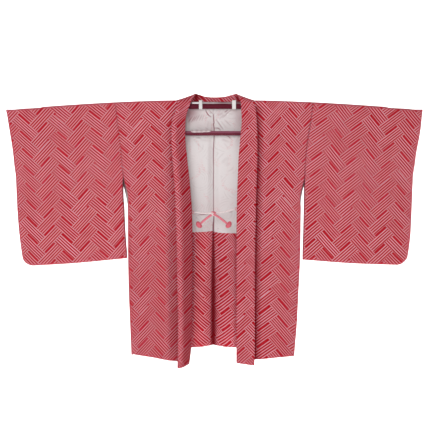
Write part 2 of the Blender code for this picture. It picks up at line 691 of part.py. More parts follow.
def make_sleeve(side, material):
    """A cloth folded at the top: closed below and beyond the cuff, open at the cuff and towards the body."""
    loops = [sleeve_loop(side, u) for u in SLEEVE_COLUMNS]
    count = len(loops[0])
    points = [point for loop in loops for point in loop]
    faces = []
    for r in range(len(loops) - 1):
        for c in range(count):
            d = (c + 1) % count
            faces.append((r * count + c, r * count + d, (r + 1) * count + d, (r + 1) * count + c))
    end = (len(loops) - 1) * count
    first_row = 1 + len(SHOULDER_TURNS)
    first_closed = first_row + SLEEVE_ROWS.index(ARMHOLE_END_Z)
    last_row = first_row + len(SLEEVE_ROWS)
    for c in range(first_closed, last_row):
        faces.append((end + c, end + c + 1, end + count - c - 1, end + count - c))
    faces.append((end + last_row, end + last_row + 1, end + last_row + 2))
    return thicken(mesh_object(f"sleeve_{side}", points, faces, material), WALL)


# The collar


def collar_section(fold, free, seam, tangent):
    """Points across the collar: free edge, outer leaf, round the fold, inner leaf, seam."""
    leaf = ((free + seam) / 2 - fold).normalized()
    out = tangent.cross(leaf).normalized()
    tip = -(leaf - tangent * leaf.dot(tangent)).normalized()
    centre = fold - tip * FOLD_RADIUS
    points = [free]
    outer_start, inner_start = centre + out * FOLD_RADIUS, centre - out * FOLD_RADIUS
    for share in (0.33, 0.68):
        points.append(free.lerp(outer_start, share) + out * LEAF_BULGE * sin(pi * share))
    for turn in (90, 45, 0, -45, -90):
        points.append(centre + (tip * cos(radians(turn)) + out * sin(radians(turn))) * FOLD_RADIUS)
    points.append(inner_start.lerp(seam, 0.5))
    points.append(seam)
    return points


def collar_half(side):
    """Fold, free edge and seam from the front hem up to the last step before the back's middle."""
    sign, stations = SIGN[side], []
    heights = row_heights(NECK_POINT_Z, front_hem_z[side](1.0))[:2:-1]
    for i, z in enumerate(heights):
        fold_z, free_z = COLLAR_END[side] if i == 0 else (z, z)
        fold = Vector((sign * collar_x[side](z), collar_y[side](z), fold_z))
        free = Vector((sign * leaf_x[side](z), leaf_y[side](z), free_z))
        seam = Vector((sign * seam_x(side, z), front_y(side, 1.0, z, NECK_POINT_Z), z))
        stations.append((fold, free, seam))
    turn_z = row_heights(NECK_POINT_Z, front_hem_z[side](1.0))[2]
    seams = [(seam_x(side, turn_z), front_y(side, 1.0, turn_z, NECK_POINT_Z), turn_z), CREST_SEAM]
    for x in NECK_SEAM_X:
        y, z = neckline(x)
        seams.append((x, y, z + NECK_SEAM_LIFT))
    for row, seam in zip(NECK_COLLAR, seams):
        wide = NECK_STRETCH[side]
        fold = Vector((sign * row.fold_x * wide, row.fold_y, row.fold_z))
        free = Vector((sign * row.free_x * between(1.0, wide, 0.25), row.free_y, row.free_z))
        stations.append((fold, free, Vector((sign * seam[0], seam[1], seam[2]))))
    return stations


def make_collar(material):
    """One band from hem to hem round the neck, folded outwards in half along its length."""
    y, z = neckline(0.0)
    centre = (
        Vector((0, NECK_MIDDLE.fold_y, NECK_MIDDLE.fold_z)),
        Vector((0, NECK_MIDDLE.free_y, NECK_MIDDLE.free_z)),
        Vector((0, y, z + NECK_SEAM_LIFT)),
    )
    stations = collar_half("left") + [centre] + collar_half("right")[::-1]
    last = len(stations) - 1
    points = []
    for i, (fold, free, seam) in enumerate(stations):
        tangent = (stations[min(i + 1, last)][0] - stations[max(i - 1, 0)][0]).normalized()
        points += [tuple(p) for p in collar_section(fold, free, seam, tangent)]
    faces = grid_faces(len(stations), len(points) // len(stations))
    return thicken(mesh_object("collar", points, faces, material), COLLAR_WALL)


# The cord between the fronts


def ring(name, centre, radius, thickness, turned, material):
    bpy.ops.mesh.primitive_torus_add(
        location=centre, rotation=turned, major_segments=14, minor_segments=6,
        major_radius=radius, minor_radius=thickness,
    )
    adopt_primitive(name, material).data.shade_smooth()


def ball(name, centre, radii, material):
    bpy.ops.mesh.primitive_uv_sphere_add(segments=12, ring_count=8, radius=1.0, location=centre)
    made = adopt_primitive(name, material)
    apply_size(made, radii)
    made.data.shade_smooth()


def cord(name, route, material):
    """A round cord along a smooth curve through its route."""
    stops = list(range(len(route)))
    axes = [curve_through(stops, [point[k] for point in route]) for k in range(3)]
    curve = bpy.data.curves.new(name, "CURVE")
    curve.dimensions = "3D"
    curve.bevel_depth = CORD_DIAMETER / 2
    curve.bevel_resolution = 2
    curve.use_fill_caps = True
    spline = curve.splines.new("POLY")
    spline.points.add(CORD_STEPS)
    for i, spot in enumerate(spline.points):
        spot.co = (*(axis(i / CORD_STEPS * stops[-1]) for axis in axes), 1)
    add_object(name, curve, material)


def make_cord(materials):
    """Two braided cords, each hung from a loop on the collar, knotted in the middle and ending in a knob."""
    for side, sign in SIGN.items():
        z = LOOP_Z[side]
        fold_x = sign * collar_x[side](z)
        loop_y = collar_y[side](z) + FOLD_RADIUS + COLLAR_WALL / 2 + 2 * FIT_GAP + LOOP_THICKNESS
        loop_x = fold_x - sign * LOOP_RADIUS / 2
        upright, level = (pi / 2, 0, 0), (0, 0, 0)
        centre = (loop_x, loop_y, z)
        ring(f"cord_loop_{side}", centre, LOOP_RADIUS, LOOP_THICKNESS, upright, materials["cloth"])
        inner = loop_x - sign * (LOOP_RADIUS - LOOP_THICKNESS - FIT_GAP - EYE_THICKNESS)
        eye_x = inner - sign * EYE_RADIUS
        ring(f"cord_eye_{side}", (eye_x, loop_y, z), EYE_RADIUS, EYE_THICKNESS, level, materials["pale"])
        start = Vector((eye_x - sign * (EYE_RADIUS + EYE_THICKNESS + FIT_GAP), loop_y, z))
        end = KNOT_CENTRE + Vector((sign * (KNOT_RADII.x + FIT_GAP), 0, 0.0010))
        cord(f"cord_lead_{side}", [start, (start + end) / 2 + LEAD_SAG, end], materials["pale"])
        knob = KNOB_CENTRE[side]
        knob_radii = (KNOB_RADIUS, KNOB_RADIUS * KNOB_DEPTH_SHARE, KNOB_RADIUS)
        ball(f"cord_knob_{side}", knob, knob_radii, materials["pink"])
        away = (knob - KNOT_CENTRE).normalized()
        knot_reach = 1 / Vector(a / r for a, r in zip(away, KNOT_RADII)).length
        begin = KNOT_CENTRE + away * (knot_reach + FIT_GAP)
        finish = knob - away * (KNOB_RADIUS + FIT_GAP)
        cord(f"cord_tail_{side}", [begin, (begin + finish) / 2 + TAIL_BOW, finish], materials["pink"])
    ball("cord_knot", KNOT_CENTRE, KNOT_RADII, materials["pink"])


def main():
    clear_scene()
    collection = bpy.data.collections.new("haori")
    bpy.context.scene.collection.children.link(collection)
    crepe = make_material("crepe", (0.62, 0.17, 0.22), 0.75)
    lining = make_material("lining", (0.78, 0.73, 0.72), 0.45)
    pink = make_material("pink_cord", (0.85, 0.38, 0.45), 0.6)
    pale = make_material("pale_cord", (0.90, 0.84, 0.84), 0.6)
    lacquer = make_material("rod", (0.16, 0.02, 0.05), 0.35)
    white = make_material("clip", (0.92, 0.92, 0.90), 0.4)
    make_rod(lacquer)
    make_lower_bar(lacquer)
    make_clips(white)
    for side in SIGN:
        make_body(side, crepe)
        make_lining(side, lining)
        make_gusset(side, crepe)
        make_sleeve(side, crepe)
    make_collar(crepe)
    make_cord({"cloth": crepe, "pink": pink, "pale": pale})


main()
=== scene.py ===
from math import cos, pi, radians, sin, tau

import bmesh
import bpy
import numpy as np
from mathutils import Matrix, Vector


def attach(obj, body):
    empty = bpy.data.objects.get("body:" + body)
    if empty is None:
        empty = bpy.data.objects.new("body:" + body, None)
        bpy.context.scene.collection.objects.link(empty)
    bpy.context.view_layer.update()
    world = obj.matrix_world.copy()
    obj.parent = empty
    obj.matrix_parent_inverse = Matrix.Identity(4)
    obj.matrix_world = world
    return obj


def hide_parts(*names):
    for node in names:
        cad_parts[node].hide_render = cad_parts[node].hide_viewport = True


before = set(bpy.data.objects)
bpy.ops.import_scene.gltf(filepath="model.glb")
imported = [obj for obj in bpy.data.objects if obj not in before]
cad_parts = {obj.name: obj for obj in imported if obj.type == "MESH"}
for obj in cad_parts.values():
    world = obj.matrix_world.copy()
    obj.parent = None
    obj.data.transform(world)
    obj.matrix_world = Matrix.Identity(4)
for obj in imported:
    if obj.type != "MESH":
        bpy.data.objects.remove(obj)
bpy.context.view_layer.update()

signs = {"left": -1.0, "right": 1.0}
otherSide = {"left": "right", "right": "left"}
print("frame loaded")

# The camera stands level in front of the garment
cameraSizes = {"across": 0.0013, "height": -0.342, "distance": 2.4, "lens": 63.79}


def addObject(name, data):
    made = bpy.data.objects.new(name, data)
    bpy.context.scene.collection.objects.link(made)
    return made


def makeCamera():
    data = bpy.data.cameras.new("photoCamera")
    data.lens = cameraSizes["lens"]
    data.sensor_width = 36.0
    data.clip_end = 50.0
    camera = addObject("photoCamera", data)
    camera.location = (cameraSizes["across"], -cameraSizes["distance"], cameraSizes["height"])
    camera.rotation_euler = (pi / 2, 0, 0)
    bpy.context.scene.camera = camera


makeCamera()
print("camera placed")


# Small helpers for tables, curves and meshes
def mm(rows, *plain):
    # a table written in millimetres, apart from its plain columns, as metres
    return [tuple(value if k in plain else value / 1000 for k, value in enumerate(row)) for row in rows]


def curveThrough(keys, values):
    keys, values = np.asarray(keys, float), np.asarray(values, float)
    if keys[0] > keys[-1]:
        keys, values = keys[::-1], values[::-1]
    steps = np.diff(values) / np.diff(keys)
    before, after = steps[:-1], steps[1:]
    safe = np.where(before * after > 0, before + after, 1.0)
    middle = np.where(before * after > 0, 2 * before * after / safe, 0.0)
    slopes = np.concatenate([[steps[0]], middle, [steps[-1]]])

    def valueAt(key):
        key = np.clip(key, keys[0], keys[-1])
        i = np.clip(np.searchsorted(keys, key, side="left") - 1, 0, len(keys) - 2)
        width = keys[i + 1] - keys[i]
        u = (key - keys[i]) / width
        start = (1 + 2 * u) * (1 - u) ** 2 * values[i] + u * (1 - u) ** 2 * width * slopes[i]
        end = u * u * (3 - 2 * u) * values[i + 1] - u * u * (1 - u) * width * slopes[i + 1]
        return start + end

    return valueAt


def column(table, index):
    return curveThrough([row[0] for row in table], [row[index] for row in table])


def bySide(table):
    return {"left": column(table, 1), "right": column(table, 2)}


def eased(value):
    value = np.clip(value, 0.0, 1.0)
    return value * value * (3 - 2 * value)


def between(low, high, share):
    return low + (high - low) * share


def bell(distance, spread, power=2):
    return np.exp(-(distance / spread) ** power)


def unit(vectors):
    return vectors / np.linalg.norm(vectors, axis=-1, keepdims=True)


def joined(first, second, size):
    return np.concatenate([first.reshape(-1, size), second.reshape(-1, size)])


def lengthAlong(points, axis=0):
    steps = np.linalg.norm(np.diff(points, axis=axis), axis=-1)
    return np.cumsum(np.concatenate([np.zeros_like(np.take(steps, [0], axis)), steps], axis), axis)


# Where a coordinate shows in the plane of the rod, as the camera sees it
def asSeen(value, y, way="across"):
    centre, distance = cameraSizes[way], cameraSizes["distance"]
    return centre + (value - centre) * distance / (distance + y)


def gridFaces(rows, columns, first=0, closed=False, tube=False):
    r, c = np.meshgrid(np.arange(rows - (not closed)), np.arange(columns - (not tube)), indexing="ij")
    nextR, nextC = (r + 1) % rows, (c + 1) % columns
    corners = [(r, c), (r, nextC), (nextR, nextC), (nextR, c)]
    return (first + np.stack([(a * columns + b).ravel() for a, b in corners], axis=1)).tolist()


def addPiece(name, points, faces, cloth=None, shades=None, merge=None):
    mesh = bpy.data.meshes.new(name)
    mesh.from_pydata(np.reshape(points, (-1, 3)).tolist(), [], faces)
    mesh.validate()
    corners = np.zeros(len(mesh.loops), int)
    mesh.loops.foreach_get("vertex_index", corners)
    if cloth is not None:
        layer = mesh.uv_layers.new(name="cloth")
        layer.data.foreach_set("uv", np.reshape(cloth, (-1, 2))[corners].ravel())
    for key, values in (shades or {}).items():
        attribute = mesh.attributes.new(key, "FLOAT", "POINT")
        attribute.data.foreach_set("value", np.ravel(values))
    shell = bmesh.new()
    shell.from_mesh(mesh)
    if merge:
        bmesh.ops.remove_doubles(shell, verts=shell.verts, dist=merge)
    bmesh.ops.recalc_face_normals(shell, faces=shell.faces)
    shell.to_mesh(mesh)
    shell.free()
    mesh.shade_smooth()
    return addObject(name, mesh)


# The piece's material and wall, and what it is in the frame
def dress(piece, material, slot, *nodes, wall=None):
    piece.data.materials.append(material)
    if wall:
        solid = piece.modifiers.new("wall", "SOLIDIFY")
        solid.thickness = wall
        solid.offset = 0.0
        solid.use_even_offset = True
    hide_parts(*nodes)
    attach(piece, "root")
    return piece


# how a fold fades towards its ends: share of it, start, power
foldTaper = (0.88, 0.06, 0.7)


# A soft ridge (height above 0) or trough (below 0) along a line on the cloth, seen from the front
def foldField(x, z, folds):
    total = np.zeros_like(x)
    share, start, power = foldTaper
    for x0, z0, x1, z1, width, height, bow in folds:
        runX, runZ = x1 - x0, z1 - z0
        length = np.hypot(runX, runZ)
        along = ((x - x0) * runX + (z - z0) * runZ) / length**2
        side = ((x - x0) * runZ - (z - z0) * runX) / length
        inside = np.clip(along, 0.0, 1.0)
        side = side - bow * 4 * inside * (1 - inside)
        past = (along - inside) * length
        taper = np.sin(pi * np.clip(along * share + start, 0.0, 1.0)) ** power
        total += height * taper * np.exp(-(side**2 + past**2) / width**2)
    return total


# Shader arithmetic on sockets
class Tone:
    def __init__(self, tree, socket=None):
        self.tree = tree
        self.socket = socket

    def node(self, kind, settings=None, inputs=None, output=0):
        made = self.tree.nodes.new(kind)
        for key, value in (settings or {}).items():
            setattr(made, key, value)
        for key, value in (inputs or {}).items():
            if isinstance(value, Tone):
                self.tree.links.new(value.socket, made.inputs[key])
            elif isinstance(value, tuple) and made.inputs[key].type == "RGBA":
                made.inputs[key].default_value = (*value, 1.0)
            else:
                made.inputs[key].default_value = value
        return Tone(self.tree, made.outputs[output])

    def math(self, operation, *others):
        values = dict(enumerate((self, *others)))
        return self.node("ShaderNodeMath", {"operation": operation}, values)

    def __add__(self, other):
        return self.math("ADD", other)

    def __mul__(self, other):
        return self.math("MULTIPLY", other)

    __radd__, __rmul__ = __add__, __mul__

    def __sub__(self, other):
        return self.math("SUBTRACT", other)

    def __rsub__(self, other):
        return self.node("ShaderNodeMath", {"operation": "SUBTRACT"}, {0: other, 1: self})

    def __truediv__(self, other):
        return self.math("DIVIDE", other)

    def __gt__(self, other):
        return self.math("GREATER_THAN", other)

    def __lt__(self, other):
        return self.math("LESS_THAN", other)

    def __mod__(self, other):
        return self.math("FLOORED_MODULO", other)

    def floor(self):
        return self.math("FLOOR")

    def wave(self, way="SINE"):
        return self.math(way)

    def rise(self, low, high, start=0.0, end=1.0):
        settings = {"interpolation_type": "SMOOTHSTEP"}
        return self.node("ShaderNodeMapRange", settings, {0: self, 1: low, 2: high, 3: start, 4: end})

    def choose(self, whenZero, whenOne):
        return whenZero + (whenOne - whenZero) * self

    def part(self, index):
        return self.node("ShaderNodeSeparateXYZ", None, {0: self}, index)

    def clothPlace(self):
        place = self.node("ShaderNodeUVMap", {"uv_map": "cloth"})
        return place, place.part(0), place.part(1)

    def stored(self, name):
        return self.node("ShaderNodeAttribute", {"attribute_name": name}, None, 2)

    def vector(self, x, y, z=0.0):
        return self.node("ShaderNodeCombineXYZ", None, {0: x, 1: y, 2: z})

    def noise(self, where, scale, detail=2.0, roughness=0.5):
        inputs = {"Vector": where, "Scale": scale, "Detail": detail, "Roughness": roughness}
        return self.node("ShaderNodeTexNoise", None, inputs)

    def cells(self, where, scale):
        return self.node("ShaderNodeTexVoronoi", {"feature": "F1"}, {"Vector": where, "Scale": scale})

    def chance(self, x, y, z):
        return self.node("ShaderNodeTexWhiteNoise", {"noise_dimensions": "3D"}, {0: self.vector(x, y, z)})

    def colours(self, factor, first, second, way="MIX"):
        settings = {"data_type": "RGBA", "blend_type": way}
        return self.node("ShaderNodeMix", settings, {0: factor, 6: first, 7: second}, 2)

    def times(self, colour, light):
        grey = self.node("ShaderNodeCombineColor", None, {0: light, 1: light, 2: light})
        return self.colours(1.0, colour, grey, "MULTIPLY")

    def bump(self, height, distance, strength=1.0):
        inputs = {"Height": height, "Distance": distance, "Strength": strength}
        return self.node("ShaderNodeBump", None, inputs)


def newMaterial(name, fixed):
    material = bpy.data.materials.new(name)
    material.use_nodes = True
    shader = material.node_tree.nodes["Principled BSDF"]
    for key, value in fixed.items():
        shader.inputs[key].default_value = value
    return material, Tone(material.node_tree), shader


def feed(tone, shader, values):
    for key, value in values.items():
        tone.tree.links.new(value.socket, shader.inputs[key])


# The crepe: red ground with blocks of pale lines, laid as bricks two by one in a herringbone
crepeLook = {
    "across": 0.0550,       # half the herringbone's width repeat
    "along": 0.0540,        # its repeat down the cloth
    "blockShare": 0.81,     # of a brick's width is lined, the rest is a red bar
    "firstLine": 0.050,     # in shares of a brick's width
    "pitch": 0.178,
    "lines": 5,
    "longLine": 0.88,       # bricks with more luck than this have a line in the bar
    "faintest": 0.78,       # how strong the faintest brick's lines are
    "ground": (0.395, 0.007, 0.013),
    "bar": (0.415, 0.014, 0.024),
    "line": (0.615, 0.300, 0.360),
    # painted shade: the colour that folds, and the cloth beside seams, are painted towards
    "paintedShade": (0.180, 0.001, 0.006),     # in folds and seams
    "grain": 820.0,
    "wander": (38.0, 0.0010, 0.0008),  # how the weave strays: scale, across, along
    "worn": (120.0, 0.86),             # worn spots on the lines: scale, faintest
    "mottle": (55.0, 0.93, 1.05),      # scale, darkest, lightest
    "relief": (0.00035, 0.8), "roughness": (0.70, 0.88),
    "fixed": {"Sheen Weight": 0.03, "Sheen Tint": (0.75, 0.20, 0.24, 1.0), "Sheen Roughness": 0.45,
              "Specular IOR Level": 0.03},
}


def makeCrepe():
    look = crepeLook
    material, tone, shader = newMaterial("crepe", look["fixed"])
    place, u, v = tone.clothPlace()
    wanderScale, strayAcross, strayAlong = look["wander"]
    wander = tone.noise(place, wanderScale, 1.0) - 0.5
    u, v = u + wander * strayAcross, v + wander * strayAlong
    a = u / look["across"] + v / look["along"]
    b = u / look["across"] - v / look["along"]
    cellA, cellB = a.floor(), b.floor()
    restA, restB = a - cellA, b - cellB
    turn = (cellA + cellB) % 4.0
    falling = turn > 1.5                                   # bricks that lean the other way
    across = falling.choose(restB, 1 - restA)
    gap = across > look["blockShare"]
    middleTurn = (turn > 0.5) * (turn < 2.5)
    bar = gap * (1 - middleTurn)
    swapped = gap * middleTurn                             # the end of the next brick fills this gap
    lined = falling + swapped - falling * swapped * 2
    lines = lined.choose(restB, 1 - restA)
    brickA = lined.choose(cellA - turn, cellA)
    brickB = lined.choose(cellB, cellB - turn + 2)
    first = tone.chance(brickA, brickB, lined)
    second = tone.chance(brickB, brickA, lined + 7.3)
    third = tone.chance(brickA, lined + 3.1, brickB)
    facing = tone.node("ShaderNodeNewGeometry", None, None, 1)
    shadow = tone.stored("shadow") * (facing.part(1) < 0.25)          # on the side that faces forwards
    pitch = (first * 0.06 + 0.97 + tone.stored("coarser")) * look["pitch"]
    step = (lines - (second - 0.5) * 0.05 - look["firstLine"]) / pitch
    limit = (third > look["longLine"]) + (look["lines"] - 0.5)
    line = (step * tau).wave("COSINE").rise(-0.05, 0.60) * (step > -0.5) * (step < limit)
    worn = tone.noise(place, look["worn"][0], 3.0, 0.6).rise(0.25, 0.6, look["worn"][1], 1.0)
    shortened = bar * (third < look["longLine"])
    line = line * second.rise(0.0, 1.0, look["faintest"], 1.0) * worn * (1 - shortened)
    colour = tone.colours(line, tone.colours(bar, look["ground"], look["bar"]), look["line"])
    mottleScale, darkest, lightest = look["mottle"]
    mottle = tone.noise(place, mottleScale, 2.0).rise(0.2, 0.8, darkest, lightest)
    # painted light where the stored shadow is below 0, and painted shade towards the shade colour where it
    # is above
    colour = tone.times(colour, mottle * (1 - shadow.math("MINIMUM", 0.0)))
    colour = tone.colours(shadow, colour, look["paintedShade"])
    stretched = tone.node("ShaderNodeMapping", None, {0: place, 3: (1.0, 0.55, 1.0)})
    pebble = tone.noise(stretched, look["grain"], 2.0, 0.65)
    feed(tone, shader, {"Base Color": colour, "Roughness": pebble.rise(0.2, 0.8, *look["roughness"]),
                        "Normal": tone.bump(pebble * 0.7 + line * 0.35, *look["relief"])})
    return material


# The lining: thin pale satin with faint pink arcs and fine grey wave lines
liningLook = {
    "cloth": (0.702, 0.657, 0.655),
    "wave": (0.550, 0.480, 0.485),
    "pink": (0.690, 0.385, 0.405),
    # painted shade: the colour that creases are painted towards, and the dark of the seams
    "paintedShade": (0.240, 0.078, 0.100),     # in creases and seams
    # wave lines and arcs, round the cells of a pattern: its scale, how far they stray, how many
    "rings": (9.0, 0.10, 100.0), "arcs": (12.0, 0.30, 19.0),
    # scales of the patches that they show in
    "bend": 14.0, "ringPatch": 26.0, "arcPatch": 17.0, "arcDots": 260.0, "blushPatch": 11.0,
    "waveShare": 0.34, "arcShare": 0.55, "blushShare": 0.08,
    "raisedLight": 0.28, "weave": 1400.0, "relief": (0.00012, 0.7), "roughness": (0.40, 0.52),
    "fixed": {"Roughness": 0.42, "Sheen Weight": 0.05, "Specular IOR Level": 0.3},
}


def makeLining():
    look = liningLook
    material, tone, shader = newMaterial("lining", look["fixed"])
    place, u, v = tone.clothPlace()
    bend = tone.noise(place, look["bend"], 2.0)

    def ripples(where, scale, stray, count):
        return ((tone.cells(where, scale) + bend * stray) * count).wave()

    rings = ripples(place, *look["rings"]).rise(0.1, 0.95)
    rings = rings * tone.noise(place, look["ringPatch"], 2.0).rise(0.46, 0.60)
    waves = rings * look["waveShare"]
    dots = tone.noise(place, look["arcDots"], 1.0).rise(0.46, 0.62)
    arcs = ripples(tone.vector(u + 1.7, v), *look["arcs"]).rise(0.45, 0.95)
    patch = tone.noise(tone.vector(u + 3.1, v), look["arcPatch"], 1.0).rise(0.44, 0.58)
    blush = tone.noise(tone.vector(u + 5.3, v), look["blushPatch"], 1.0).rise(0.45, 0.75)
    pink = arcs * patch * dots * look["arcShare"] + blush * look["blushShare"]
    shadow = tone.stored("shadow")
    colour = tone.colours(waves, look["cloth"], look["wave"])
    colour = tone.colours(pink, colour, look["pink"])
    # painted shade where the stored shadow is above 0, and a painted highlight on raised creases where it is
    # below 0
    colour = tone.colours(shadow, colour, look["paintedShade"])
    colour = tone.times(colour, 1 - shadow.math("MINIMUM", 0.0) * look["raisedLight"])
    weave = tone.noise(place, look["weave"], 1.0)
    feed(tone, shader, {"Base Color": colour, "Roughness": waves.rise(0.0, 1.0, *look["roughness"]),
                        "Normal": tone.bump(weave * 0.4 + rings * 0.3, *look["relief"])})
    return material


def makeBraid(name, colour, shadow):
    fixed = {"Roughness": 0.55, "Sheen Weight": 0.25, "Sheen Roughness": 0.4}
    material, tone, shader = newMaterial(name, fixed)
    u, v = tone.clothPlace()[1:]
    left, right = ((u * 1500.0 + v * lean * tau).wave().math("ABSOLUTE") for lean in (8, -8))
    strand = left.math("MAXIMUM", right)
    feed(tone, shader, {"Base Color": tone.colours(strand.rise(0.2, 1.0), shadow, colour),
                        "Normal": tone.bump(strand, 0.0004, 0.8)})
    return material


def makeHard(name, colour, dark, roughness, scratch, gloss, paintedTopLight=None):
    material, tone, shader = newMaterial(name, {"Specular IOR Level": gloss, "Coat Roughness": 0.2})
    place = tone.node("ShaderNodeTexCoord", None, None, 3)
    streak = tone.noise(tone.node("ShaderNodeMapping", None, {0: place, 3: (4.0, 90.0, 90.0)}), 9.0, 2.0)
    colour = tone.colours(tone.noise(place, 18.0, 3.0).rise(0.3, 0.7), dark, colour)
    # painted light: above the given height the bar is painted paler, as its top catches the light
    if paintedTopLight:
        height, paintedTopColour = paintedTopLight
        above = (place.part(2) + (streak - 0.5) * 0.003).rise(height - 0.0008, height + 0.0008)
        colour = tone.colours(above, colour, paintedTopColour)
    feed(tone, shader, {"Base Color": colour, "Normal": tone.bump(streak, 0.00005, 0.5),
                        "Roughness": streak.rise(0.3, 0.8, roughness, roughness + scratch)})
    return material


crepe = makeCrepe()
liningSatin = makeLining()
paleBraid = makeBraid("paleBraid", (0.80, 0.70, 0.70), (0.50, 0.33, 0.34))
pinkBraid = makeBraid("pinkBraid", (0.76, 0.20, 0.25), (0.42, 0.06, 0.09))
knobBraid = makeBraid("knobBraid", (0.68, 0.12, 0.16), (0.36, 0.035, 0.06))
lacquer = makeHard("lacquer", (0.100, 0.0065, 0.018), (0.080, 0.005, 0.014), 0.36, 0.12, 0.05)
# the lower bar's top is painted paler as painted light
barLacquer = makeHard("barLacquer", (0.140, 0.024, 0.040), (0.115, 0.018, 0.032), 0.40, 0.12, 0.05,
                      (-0.0838, (0.225, 0.062, 0.098)))
whitePlastic = makeHard("whitePlastic", (0.70, 0.68, 0.67), (0.60, 0.58, 0.57), 0.34, 0.14, 0.3)
# painted light: the neck rest gets a brighter copy of the clips' white plastic
restPlasticPaintedLight = makeHard("restPlasticPaintedLight", (0.95, 0.93, 0.92), (0.90, 0.88, 0.87), 0.34, 0.14, 0.3)
print("materials mixed")

# Stitches: short threads at even steps along a line
stitchSeed = 7
thread = {"pale": makeBraid("paleThread", (0.66, 0.58, 0.58), (0.45, 0.36, 0.37)),
          "red": makeBraid("redThread", (0.30, 0.012, 0.022), (0.18, 0.006, 0.010))}


def stitchTree(material):
    tree = bpy.data.node_groups.new("stitches", "GeometryNodeTree")
    tree.interface.new_socket("Line", in_out="INPUT", socket_type="NodeSocketGeometry")
    for label in ("Step", "Length", "Thickness", "Unevenness"):
        tree.interface.new_socket(label, in_out="INPUT", socket_type="NodeSocketFloat")
    tree.interface.new_socket("Stitches", in_out="OUTPUT", socket_type="NodeSocketGeometry")
    given = tree.nodes.new("NodeGroupInput").outputs
    line, step, length, thickness, unevenness = (Tone(tree, given[k]) for k in range(5))
    curve = line.node("GeometryNodeMeshToCurve", None, {0: line})
    points = line.node("GeometryNodeCurveToPoints", {"mode": "LENGTH"}, {"Curve": curve, "Length": step})
    turned = Tone(tree, points.socket.node.outputs["Rotation"])
    rod = line.node("GeometryNodeMeshCylinder", None,
                    {"Vertices": 8, "Radius": thickness * 0.5, "Depth": length})
    luck = line.node("FunctionNodeRandomValue", {"data_type": "FLOAT"},
                     {2: 1.0 - unevenness, 3: 1.0, "Seed": stitchSeed}, 1)
    placed = line.node("GeometryNodeInstanceOnPoints", None,
                       {"Points": points, "Instance": rod, "Rotation": turned, "Scale": luck})
    real = line.node("GeometryNodeRealizeInstances", None, {0: placed})
    dyed = line.node("GeometryNodeSetMaterial", None, {0: real, "Material": material})
    tree.links.new(dyed.socket, tree.nodes.new("NodeGroupOutput").inputs["Stitches"])
    return tree


stitchTrees = {colour: stitchTree(material) for colour, material in thread.items()}


def sewStitches(name, line, colour, sizes):
    mesh = bpy.data.meshes.new(name + "Line")
    mesh.from_pydata(line.tolist(), [(k, k + 1) for k in range(len(line) - 1)], [])
    guide = addObject(name + "Line", mesh)
    tree = stitchTrees[colour]
    modifier = guide.modifiers.new("stitches", "NODES")
    modifier.node_group = tree
    for socket in tree.interface.items_tree:
        if socket.in_out == "INPUT" and socket.name in sizes:
            modifier[socket.identifier] = sizes[socket.name]
    sewn = bpy.data.meshes.new_from_object(guide.evaluated_get(bpy.context.evaluated_depsgraph_get()))
    bpy.data.objects.remove(guide)
    sewn.name = name
    piece = addObject(name, sewn)
    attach(piece, "root")


# The body: one length of cloth each side, from the front hem over the shoulder to the back hem
bodySizes = {
    "wall": 0.0016,
    "seamGap": 0.0001,
    "shoulderRadius": 0.0088,
    "neckPoint": (0.1025, 0.0184),
    "neckline": (0.0125, 0.0200),
    "neckCurve": 0.0300,
    "neckCutSlope": 0.45,
    "armholeEnd": -0.2200,
    "slitEnd": -0.3060,
    # where the slit stands open most, how far up and down, and how wide
    "gapeAt": -0.2760, "gapeSpread": 0.0340, "gape": {"left": 0.0062, "right": 0.0050},
    "hemHalfDepth": 0.0310,
    "hem": -0.7770,
    "backHemRise": 0.0080,
    "ripple": (0.0022, 0.1050, 0.8),
    # height, left edge, right edge
    "sideEdge": mm([
        (20, 313, 310.5), (-48.5, 305, 301.5), (-111.8, 296.4, 291.2), (-164.4, 291, 285.6),
        (-220, 286, 282.6), (-266.5, 280, 275.5), (-306, 273.2, 270.5), (-320, 271.8, 270),
        (-476, 270, 267), (-587, 267.2, 261.2), (-674, 263.2, 256.5), (-777, 258.6, 247.8),
    ]),
    # share from the side to the collar, height left, height right
    "frontHem": mm([(0, -774, -780), (0.5, -784.5, -785), (1, -798.5, -791.5)], 0),
    "frontSwell": mm([
        (0, 0, 0), (0.2, 7, 5), (0.4, 9, 7), (0.6, 13, 10), (0.75, 15, 10), (0.87, 6, 7), (1, -6, -2),
    ], 0),
    "backSwell": mm([(0, 34), (0.2, 34), (0.4, 31), (0.6, 24), (0.8, 12), (1, 0)], 0),
    # height, depth, half width of the pleat along the centre back seam
    "backPleat": mm([(20, 0, 12), (-100, 3, 16), (-400, 9, 26), (-600, 21, 36), (-777, 30, 44)]),
    # height, depth, half width of the fold that the seam allowance makes below the lining, whose darkness is
    # painted shade
    "backValley": mm([(-370, 0, 1.6), (-410, 5, 2.6), (-500, 8, 4.4), (-600, 10, 5.6), (-777, 11, 7)]),
    "seamAt": -0.0040, "seamRun": 0.05,
    # how the depth grows downwards, and how far below the crest the folds are at their full height
    "depthPower": 1.1, "frontPower": 0.8, "backPower": 0.9, "frontFoldRun": 0.03, "backFoldRun": 0.05,
    "neckCrowding": 1.4,
    "coarser": {"left": 0.045, "right": 0.01},
    "backShift": {"left": 0.0, "right": 0.0550},
    "strips": 9,
    "columns": 46,
    "neckColumns": 40,
    "rows": 196,
    "turnSteps": 6,
}
